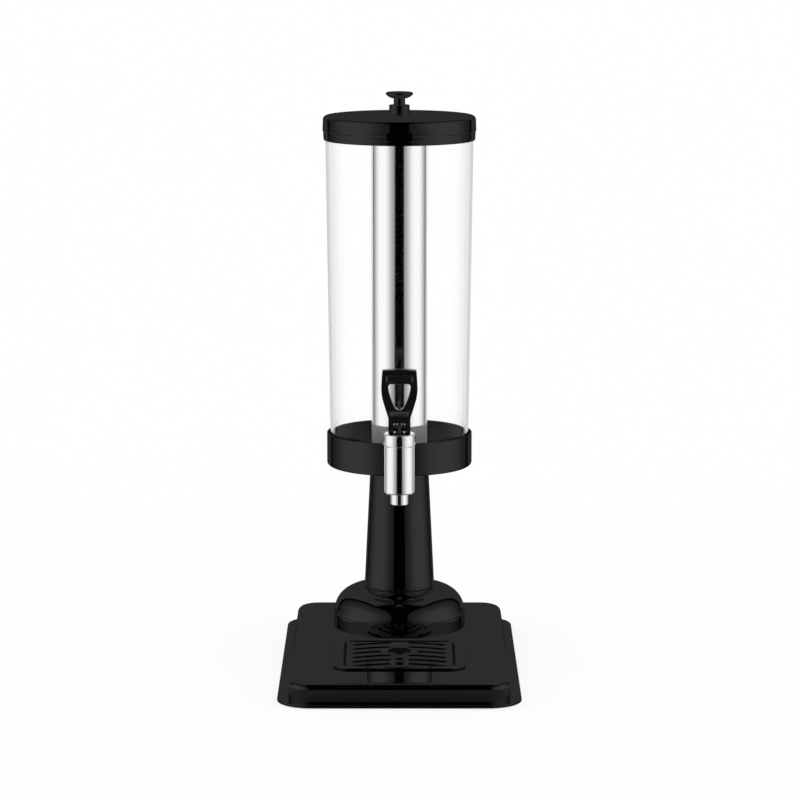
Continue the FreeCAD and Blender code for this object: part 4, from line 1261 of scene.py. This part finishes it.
@dataclass
class Lid:
    """The spun lid with its hem, and the knob on its washer and collar."""

    bench: Workbench
    top: float = 496.3
    wall: float = 1.2
    radius: float = 70.2
    draft: float = 0.4
    edge_round: float = 3.8
    inner_round: float = 2.8
    wall_low: float = 482.6
    band: float = 0.6
    band_low: float = 478.2
    groove: float = 0.3
    hem_low: float = 474.0
    hem_outside: float = 68.9
    hem_inside: float = 68.1
    inside: float = 69.0
    fine_round: float = 0.3
    stud_hole: float = 2.8
    stud: float = 2.5
    stud_low: float = 486.6
    bore: float = 2.55
    washer_radius: float = 11.2
    washer_top: float = 497.3
    base_radius: float = 9.4
    base_top: float = 505.9
    base_round: float = 0.6
    neck: float = 5.3
    neck_top: float = 511.6
    knob_radius: float = 12.4
    bowl_top: float = 515.4
    bowl_sag: float = 0.8
    edge_top: float = 516.4
    shoulder: float = 10.8
    shoulder_top: float = 517.5
    shoulder_sag: float = 0.25
    knob_top: float = 518.0
    crown_sag: float = 0.12

    def build_shell(self) -> Part:
        """Spin the lid: a flat top, a drafted wall, a step, a groove and a hem that curls in.

        Returns:
            The finished part.
        """
        under = self.top - self.wall
        lower = self.radius - self.band
        fine, groove = self.fine_round, self.groove
        outline = [(self.stud_hole, under), (self.inside, under, self.inner_round),
                   (self.inside, self.band_low), (self.hem_inside, self.hem_low, fine),
                   (self.hem_outside, self.hem_low, fine)]
        outline += bow((self.hem_outside, self.hem_low), (lower - groove, self.band_low),
                       groove)[1:]
        outline += [(lower, self.band_low + groove, groove / 2),
                    (lower, self.wall_low - self.band, groove / 2),
                    (self.radius, self.wall_low, fine),
                    (self.radius - self.draft, self.top, self.edge_round),
                    (self.stud_hole, self.top, fine)]
        shell = self.bench.lathe("lid_spun", outline)
        return Part(shell, "lid", ("lid_shell",), Finish.LACQUER, "pedestal_black")

    def knob_part(self, name: str, outline: Outline, node: str) -> Part:
        """Turn one of the pieces of the knob."""
        piece = self.bench.lathe(name, outline)
        return Part(piece, "lid", (node,), Finish.LACQUER, "knob_black", in_gloss=False)

    def build_washer(self) -> Part:
        """Turn the thin ring on the lid.

        Returns:
            The finished part.
        """
        radius, fine = self.washer_radius, self.fine_round
        return self.knob_part("knob_washer_ring", [
            (self.bore, self.top), (radius, self.top, fine), (radius, self.washer_top, fine),
            (self.bore, self.washer_top)], "knob_washer")

    def build_collar(self) -> Part:
        """Turn the tall ring under the knob.

        Returns:
            The finished part.
        """
        radius, low, high = self.base_radius, self.washer_top, self.base_top
        return self.knob_part("knob_base_ring", [
            (self.bore, low), (radius, low, self.fine_round), (radius, high, self.base_round),
            (self.bore, high)], "knob_base")

    def build_knob(self) -> Part:
        """Turn the knob: a stud, a neck, a bowl underneath and a low crown on top.

        Returns:
            The finished part.
        """
        rim, shoulder = (self.knob_radius, self.edge_top), (self.shoulder, self.shoulder_top)
        outline = [(0, self.stud_low), (self.stud, self.stud_low, self.fine_round),
                   (self.stud, self.base_top), (self.neck, self.base_top)]
        outline += bow((self.neck, self.neck_top), (self.knob_radius, self.bowl_top),
                       self.bowl_sag)
        outline += bow(rim, shoulder, self.shoulder_sag)
        outline += bow(shoulder, (0, self.knob_top), self.crown_sag)[1:]
        return self.knob_part("knob_turned", outline, "knob")

    def build(self) -> list[Part]:
        """Build the lid's pieces."""
        return [self.build_shell(), self.build_washer(), self.build_collar(), self.build_knob()]


# ------------------------------------------------------------------ tap

@dataclass
class Tap:
    """The chromed barrel with its shank, and the bonnet."""

    bench: Workbench
    spout_low: float = 153.5
    spout_radius: float = 7.7
    spout_bore: float = 5.5
    barrel_low: float = 163.5
    barrel_radius: float = 13.45
    barrel_chamfer: float = 1.5
    barrel_top: float = 207.1
    edge_round: float = 0.45
    chamber: float = 10.0
    seat: float = 172.0
    seat_lip: float = 0.8
    seat_radius: float = 7.0
    shoulder: float = 9.0
    shoulder_start: float = 10.7
    shoulder_end: float = 20.5
    shank: float = 7.0
    shank_bore: float = 4.5
    shank_end: float = 39.1
    shank_round: float = 0.8
    bonnet_low: float = 207.8
    bonnet_top: float = 218.5
    bonnet_radius: float = 14.2
    bonnet_round: float = 2.0
    bonnet_spigot: float = 9.9
    spigot_low: float = 197.5
    spring_chamber: float = 7.0
    spring_roof: float = 214.1
    stem_bore: float = 3.55

    def build_body(self) -> Part:
        """Turn the barrel and spout, and join the shank that runs back through the walls.

        Returns:
            The finished part.
        """
        edge, seat = self.edge_round, self.seat + self.seat_lip
        body = self.bench.lathe("tap_body_turned", [
            (self.spout_bore, self.spout_low, edge), (self.spout_radius, self.spout_low, edge),
            (self.spout_radius, self.barrel_low),
            (self.barrel_radius - self.barrel_chamfer, self.barrel_low, edge),
            (self.barrel_radius, self.barrel_low + self.barrel_chamfer, edge),
            (self.barrel_radius, self.barrel_top, edge), (self.chamber, self.barrel_top, edge),
            (self.chamber, self.seat), (self.seat_radius, self.seat), (self.seat_radius, seat),
            (self.spout_bore, seat)], TAP_Y)
        shank = self.bench.lathe("shank_turned", [
            (self.shank_bore, self.shoulder_start), (self.shoulder, self.shoulder_start),
            (self.shoulder, self.shoulder_end, edge), (self.shank, self.shoulder_end),
            (self.shank, self.shank_end, self.shank_round), (self.shank_bore, self.shank_end)], 0)
        self.bench.lay(shank, (-90, 0, 0), (0, TAP_Y, SHANK_HEIGHT))
        self.bench.join(body, shank)
        return Part(body, "stand", ("faucet_body",), Finish.CHROME, "tap_chrome")

    def build_bonnet(self) -> Part:
        """Turn the bonnet with its spigot, the spring's chamber and the stem's bore.

        Returns:
            The finished part.
        """
        edge = self.edge_round
        bonnet = self.bench.lathe("bonnet_turned", [
            (self.spring_chamber, self.spigot_low), (self.bonnet_spigot, self.spigot_low),
            (self.bonnet_spigot, self.bonnet_low), (self.bonnet_radius, self.bonnet_low, edge),
            (self.bonnet_radius, self.bonnet_top, self.bonnet_round),
            (self.stem_bore, self.bonnet_top, edge), (self.stem_bore, self.spring_roof),
            (self.spring_chamber, self.spring_roof)], TAP_Y)
        return Part(bonnet, "stand", ("faucet_bonnet",), Finish.CHROME, "tap_chrome")

    def build(self) -> list[Part]:
        """Build the tap's pieces."""
        return [self.build_body(), self.build_bonnet()]


@dataclass
class Stem:
    """The stem: a rod with a flange for the spring, and a flat tongue for the cross pin.

    The tongue is a width, a depth and the radius of its corners.
    """

    bench: Workbench
    low: float = 177.4
    radius: float = 3.5
    rod_top: float = 219.2
    fine_round: float = 0.4
    flange_low: float = 197.55
    flange_high: float = 199.05
    flange_radius: float = 6.2
    tongue: Triple = (3.8, 5.2, 1.7)
    tongue_low: float = 218.0
    top: float = 227.6
    top_round: float = 1.5
    eye: float = 1.65

    def build(self) -> list[Part]:
        """Turn the rod, raise the tongue on it and drill the tongue for the pin.

        Returns:
            The stem as the only part of a list.
        """
        bench, fine = self.bench, self.fine_round
        rod = bench.lathe("stem_turned", [
            (0, self.low), (self.radius, self.low, fine), (self.radius, self.flange_low),
            (self.flange_radius, self.flange_low, fine),
            (self.flange_radius, self.flange_high, fine), (self.radius, self.flange_high),
            (self.radius, self.rod_top, fine), (0, self.rod_top)], TAP_Y)
        tongue = bench.slab("stem_tongue", self.tongue, self.tongue_low, TAP_Y)
        bench.move(up=self.top - self.top_round - self.tongue_low)
        bench.roll(self.top_round)
        bench.close()
        reach = self.tongue[0]
        eye = bench.rod("stem_eye", self.eye, -reach, reach, 0)
        bench.lay(eye, (0, 90, 0), (0, TAP_Y, PIN_HEIGHT))
        bench.carve(tongue, eye)
        bench.shade(tongue)
        bench.join(rod, tongue)
        return [Part(rod, "stem", ("faucet_stem",), Finish.NYLON, "stem_plastic")]


@dataclass
class Spring:
    """The coil spring round the stem, which shortens against the bonnet's roof as it lifts."""

    bench: Workbench
    source: Piece
    joint: str = "stem_lift"
    low: float = 199.15
    high: float = 214.0
    travel: float = 4.0

    def build(self) -> Part:
        """Copy the coil and close its loose triangles.

        Returns:
            The finished part.
        """
        self.bench.choose(self.source)
        bpy.ops.object.duplicate()
        coil = bpy.context.object
        coil.name = coil.data.name = "spring_wound"
        self.bench.clean(coil)
        self.bench.shade(coil)
        return Part(coil, "stand", ("stem_spring",), Finish.ZINC, "spring_steel", in_gloss=False)

    def loosen(self, coil: Piece) -> None:
        """Give the coil a mesh of its own.

        Args:
            coil: the piece that build() made.
        """
        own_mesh(coil)


@dataclass
class Lever:
    """The lever: a forked heel, two arms round an open loop, and a grip across the top.

    Every profile gives a distance at heights over the cross pin: how far the open middle and the
    outside lie from the lever's middle, and where the front and the back lie along Y. The web
    closes the fork at its back; it is a width, a depth and the radius of its corners.
    """

    bench: Workbench
    opening: Profile = (
        (-5.2, 5.2), (4.7, 5.2), (4.8, 0.0), (15.7, 0.0), (16.1, 1.7), (16.9, 2.9), (18.2, 3.95),
        (20.5, 5.3), (23.5, 6.75), (27.0, 8.1), (31.0, 9.25), (34.5, 9.9), (36.9, 10.1),
        (38.2, 9.75), (39.1, 8.8), (39.4, 7.4), (39.5, 0.0))
    outside: Profile = (
        (-5.2, 9.9), (8.5, 9.8), (10.1, 10.35), (16.0, 12.3), (21.8, 14.1), (25.2, 15.1),
        (29.0, 15.8), (32.5, 16.2), (35.5, 16.3), (44.0, 15.85), (51.4, 15.3), (52.0, 11.5),
        (52.35, 6.0), (52.5, 1.5))
    front: Profile = (
        (-5.2, -5.66), (-4.9, -7.4), (-4.0, -9.0), (-2.6, -10.15), (-0.9, -10.8), (0.8, -10.86),
        (3.3, -10.86), (10.1, -4.0), (39.5, -4.0), (41.5, -4.7), (50.0, -4.7), (51.4, -4.4),
        (52.5, -3.6))
    back: Profile = (
        (-5.2, 4.4), (-4.0, 5.6), (-2.6, 6.0), (6.9, 6.0), (10.1, 4.0), (39.5, 4.0), (41.5, 5.2),
        (50.0, 5.2), (51.4, 4.8), (52.5, 3.6))
    mirror_gap: float = 0.01
    edge: float = 0.9
    grip_height: float = 44.4
    grip_radius: float = 3.7
    grip_round: float = 3.145
    grip_half_length: float = 12.9
    grip_forward: float = 4.3
    web: Triple = (10.8, 1.7, 0.2)
    web_back: float = 4.05
    web_low: float = -4.6
    web_high: float = -0.6

    def build_grip(self) -> Piece:
        """Turn the grip and lay it across the lever.

        Returns:
            The bar, in object mode.
        """
        half, radius = self.grip_half_length, self.grip_radius
        grip = self.bench.lathe("grip_bar", [
            (0, -half), (radius, -half, self.grip_round), (radius, half, self.grip_round),
            (0, half)], 0)
        spot = (0, TAP_Y - self.grip_forward, PIN_HEIGHT + self.grip_height)
        self.bench.lay(grip, (0, 90, 0), spot)
        return grip

    def build(self) -> list[Part]:
        """Draw one half of the lever up through its sections, mirror it, add grip and web.

        Returns:
            The lever as the only part of a list.
        """
        bench = self.bench
        profiles = (self.opening, self.outside, self.front, self.back)
        heights = sorted({height for profile in profiles for height, _ in profile})
        sections = [(height, *(follow(profile, height) for profile in profiles))
                    for height in heights]
        lever = bench.swept("lever_grip", sections, (TAP_Y, PIN_HEIGHT))
        bench.add(lever, "MIRROR", use_axis=(True, False, False), use_clip=True,
                  merge_threshold=self.mirror_gap * MM)
        bench.clean(lever)
        bench.shade(lever, self.edge)
        grip = self.build_grip()
        web = bench.block("lever_web", self.web, PIN_HEIGHT + self.web_low,
                          PIN_HEIGHT + self.web_high, TAP_Y + self.web_back)
        bench.shade(web)
        bench.join(lever, grip, web)
        return [Part(lever, "lever", ("lever_handle",), Finish.GRIP, "lever_black")]


# ------------------------------------------------------------------ studio

@dataclass
class Softboxes:
    """Two tall soft panels left and right of the tower, as its gloss shows them.

    Bearings are degrees round the tower from the front; the panels are mirror images. Each is
    brightest in its middle, narrows below the horizon and has a dark frame, and a dark gap lies
    between them in front.
    """

    middle: float = 75.0
    half_width: float = 61.3
    narrowing: float = 4.5
    horizon: Pair = (-12.0, 2.0)
    height: float = 5.0
    half_height: float = 50.0
    squareness: float = 2.8
    gap_edge: Pair = (60.0, 90.0)
    around: float = 0.68
    falloff: Profile = ((0.0, 1.0), (0.32, 1.0), (0.47, 0.86), (0.62, 0.65), (0.75, 0.46),
                        (0.93, 0.3), (0.985, 0.26), (1.0, 0.0))
    frame: float = 1.1
    frame_edge: Pair = (1.08, 1.12)

    def brightness(self, graph: Graph, sideways: Socket, forward: Socket, rise: Socket) -> Socket:
        """How bright the studio is in one direction.

        Args:
            graph: the tree to add to.
            sideways: the direction's part along X.
            forward: its part towards the front.
            rise: its elevation in degrees.

        Returns:
            The brightness, from 0 to 1.
        """
        bearing = sideways.math("ABSOLUTE").math("ARCTAN2", forward) * DEGREES
        width = rise.smooth(*self.horizon, self.half_width - self.narrowing, self.half_width)
        across = ((bearing - self.middle) / width).math("ABSOLUTE")
        upward = ((rise - self.height) / self.half_height).math("ABSOLUTE")
        power = self.squareness
        total = across.math("POWER", power) + upward.math("POWER", power)
        reach = total.math("POWER", 1 / power)
        stops = [(place / self.frame, (value,) * 3 + (1,)) for place, value in self.falloff]
        panel = graph.node("ShaderNodeValToRGB", {"stops": stops}, {0: reach / self.frame})
        room = bearing.smooth(*self.gap_edge, 0.0, self.around)
        outside = reach.smooth(*self.frame_edge)
        return panel * (1 - outside) + room * outside


@dataclass
class Studio:
    """The camera, the white floor and the world with its softboxes."""

    camera_distance: float = 2.9
    camera_height: float = 0.719
    camera_pitch: float = 9.51
    focal_pixels: float = 3179.0
    picture_pixels: float = 800.0
    sensor: float = 36.0
    middle_shift: float = 0.6
    floor_size: float = 60.0
    floor_view: float = -9.5
    near_start: Pair = (0.17, 0.34)
    near_end: Pair = (0.35, 0.39)
    near_brightness: float = 0.37
    paper: float = 0.99
    shadow_share: float = 0.2
    softboxes: Softboxes = field(default_factory=Softboxes)

    def build_camera(self) -> None:
        """Aim the camera level across and tilted down at the tower."""
        data = bpy.data.cameras.new("camera")
        data.sensor_width = self.sensor
        data.lens = self.sensor * self.focal_pixels / self.picture_pixels
        data.shift_x = self.middle_shift / self.picture_pixels
        camera = bpy.data.objects.new("camera", data)
        camera.location = (0, TOWER_Y * MM - self.camera_distance, self.camera_height)
        camera.rotation_euler = (math.radians(90 - self.camera_pitch), 0, 0)
        bpy.context.scene.collection.objects.link(camera)
        bpy.context.scene.camera = camera

    def build_floor(self) -> None:
        """Lay a floor that reads as white, keeps a soft shadow and shows softboxes in gloss."""
        deselect()
        bpy.ops.mesh.primitive_plane_add(size=self.floor_size, location=(0, 0, 0))
        floor = bpy.context.object
        floor.name = "floor"
        graph = Graph.of_material("floor_paper")
        sideways = graph.along("X")
        forward = TOWER_Y * MM - graph.along("Y")
        distance = graph.length(sideways, forward)
        glow = self.softboxes.brightness(graph, sideways, forward, graph.number(self.floor_view))
        lift = distance.smooth(*self.near_start, 0.0, self.near_brightness)
        far = distance.smooth(*self.near_end)
        glow = glow * far + (1 - far) * glow.math("MAXIMUM", lift)
        paper = graph.node("ShaderNodeBsdfDiffuse", sockets={"Color": (self.paper,) * 3 + (1,)})
        white = graph.light("ShaderNodeEmission")
        seen = graph.ray("Is Camera Ray").math("MAXIMUM", graph.ray("Is Transmission Ray"))
        surface = graph.blend(seen * (1 - self.shadow_share), paper, white)
        surface = graph.blend(graph.mirrored(), surface, graph.light("ShaderNodeEmission", glow))
        floor.data.materials.append(graph.finish(surface))

    def build_world(self) -> None:
        """Make a pale room that is white where it is seen and shows the softboxes in gloss."""
        graph = Graph(bpy.data.worlds.new("studio_world"))
        sideways = graph.along("X", "Generated")
        forward = -1 * graph.along("Y", "Generated")
        rise = graph.along("Z", "Generated").math("ARCSINE") * DEGREES
        glow = self.softboxes.brightness(graph, sideways, forward, rise)
        white = graph.light("ShaderNodeBackground")
        mirrored = graph.light("ShaderNodeBackground", glow)
        room = graph.blend(graph.mirrored(), white, mirrored)
        bpy.context.scene.world = graph.finish(room, "ShaderNodeOutputWorld")

    def build(self) -> None:
        """Build all of the studio."""
        self.build_camera()
        self.build_floor()
        self.build_world()
        bpy.context.scene.view_settings.view_transform = "Standard"


NODE_FINISHES = {
    Finish.ZINC: ("bottom_plate", "plate_screws", "tie_rod", "rod_top_washer", "rod_top_nut",
                  "rod_spreader", "rod_bottom_nut", "collar_hub", "knob_nut", "lever_pin"),
    Finish.RUBBER: ("rubber_feet", "vessel_cushion", "bonnet_seal"),
    Finish.SILICONE: ("lid_gasket", "tube_seal", "wall_seal", "nut_seal", "seat_cup"),
    Finish.LACQUER: ("column_locator", "tube_ring"),
    Finish.TUBE: ("ice_tube_base",),
    Finish.CHROME: ("shank_washer", "shank_nut"),
}


def dress_nodes(nodes: dict[str, Piece], paints: Paintbox) -> None:
    """Give every node that keeps its own shape its finish, and keep the inner ones out of gloss.

    Args:
        nodes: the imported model's nodes by name.
        paints: where the finishes are made.
    """
    for finish, names in NODE_FINISHES.items():
        for name in names:
            paints.dress(nodes[name], finish)
            nodes[name].visible_glossy = finish in (Finish.CHROME, Finish.TUBE, Finish.LACQUER)
            LOG.info("%s keeps its shape and is %s", name, finish.name.lower())


def main() -> None:
    """Build the scene."""
    logging.basicConfig(level=logging.INFO, format="%(name)s: %(message)s")
    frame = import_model()
    paints = Paintbox()
    dress_nodes(frame["nodes"], paints)
    bench = Workbench()
    for assembly in (Base, Pedestal, Vessel, Lid, Tap, Stem, Lever):
        for part in assembly(bench).build():
            part.hand_over(paints)
    spring = Spring(bench, frame["nodes"]["stem_spring"])
    wound = spring.build()
    wound.hand_over(paints)
    spring.loosen(wound.piece)
    deselect()
    Studio().build()


if __name__ == "__main__":
    main()
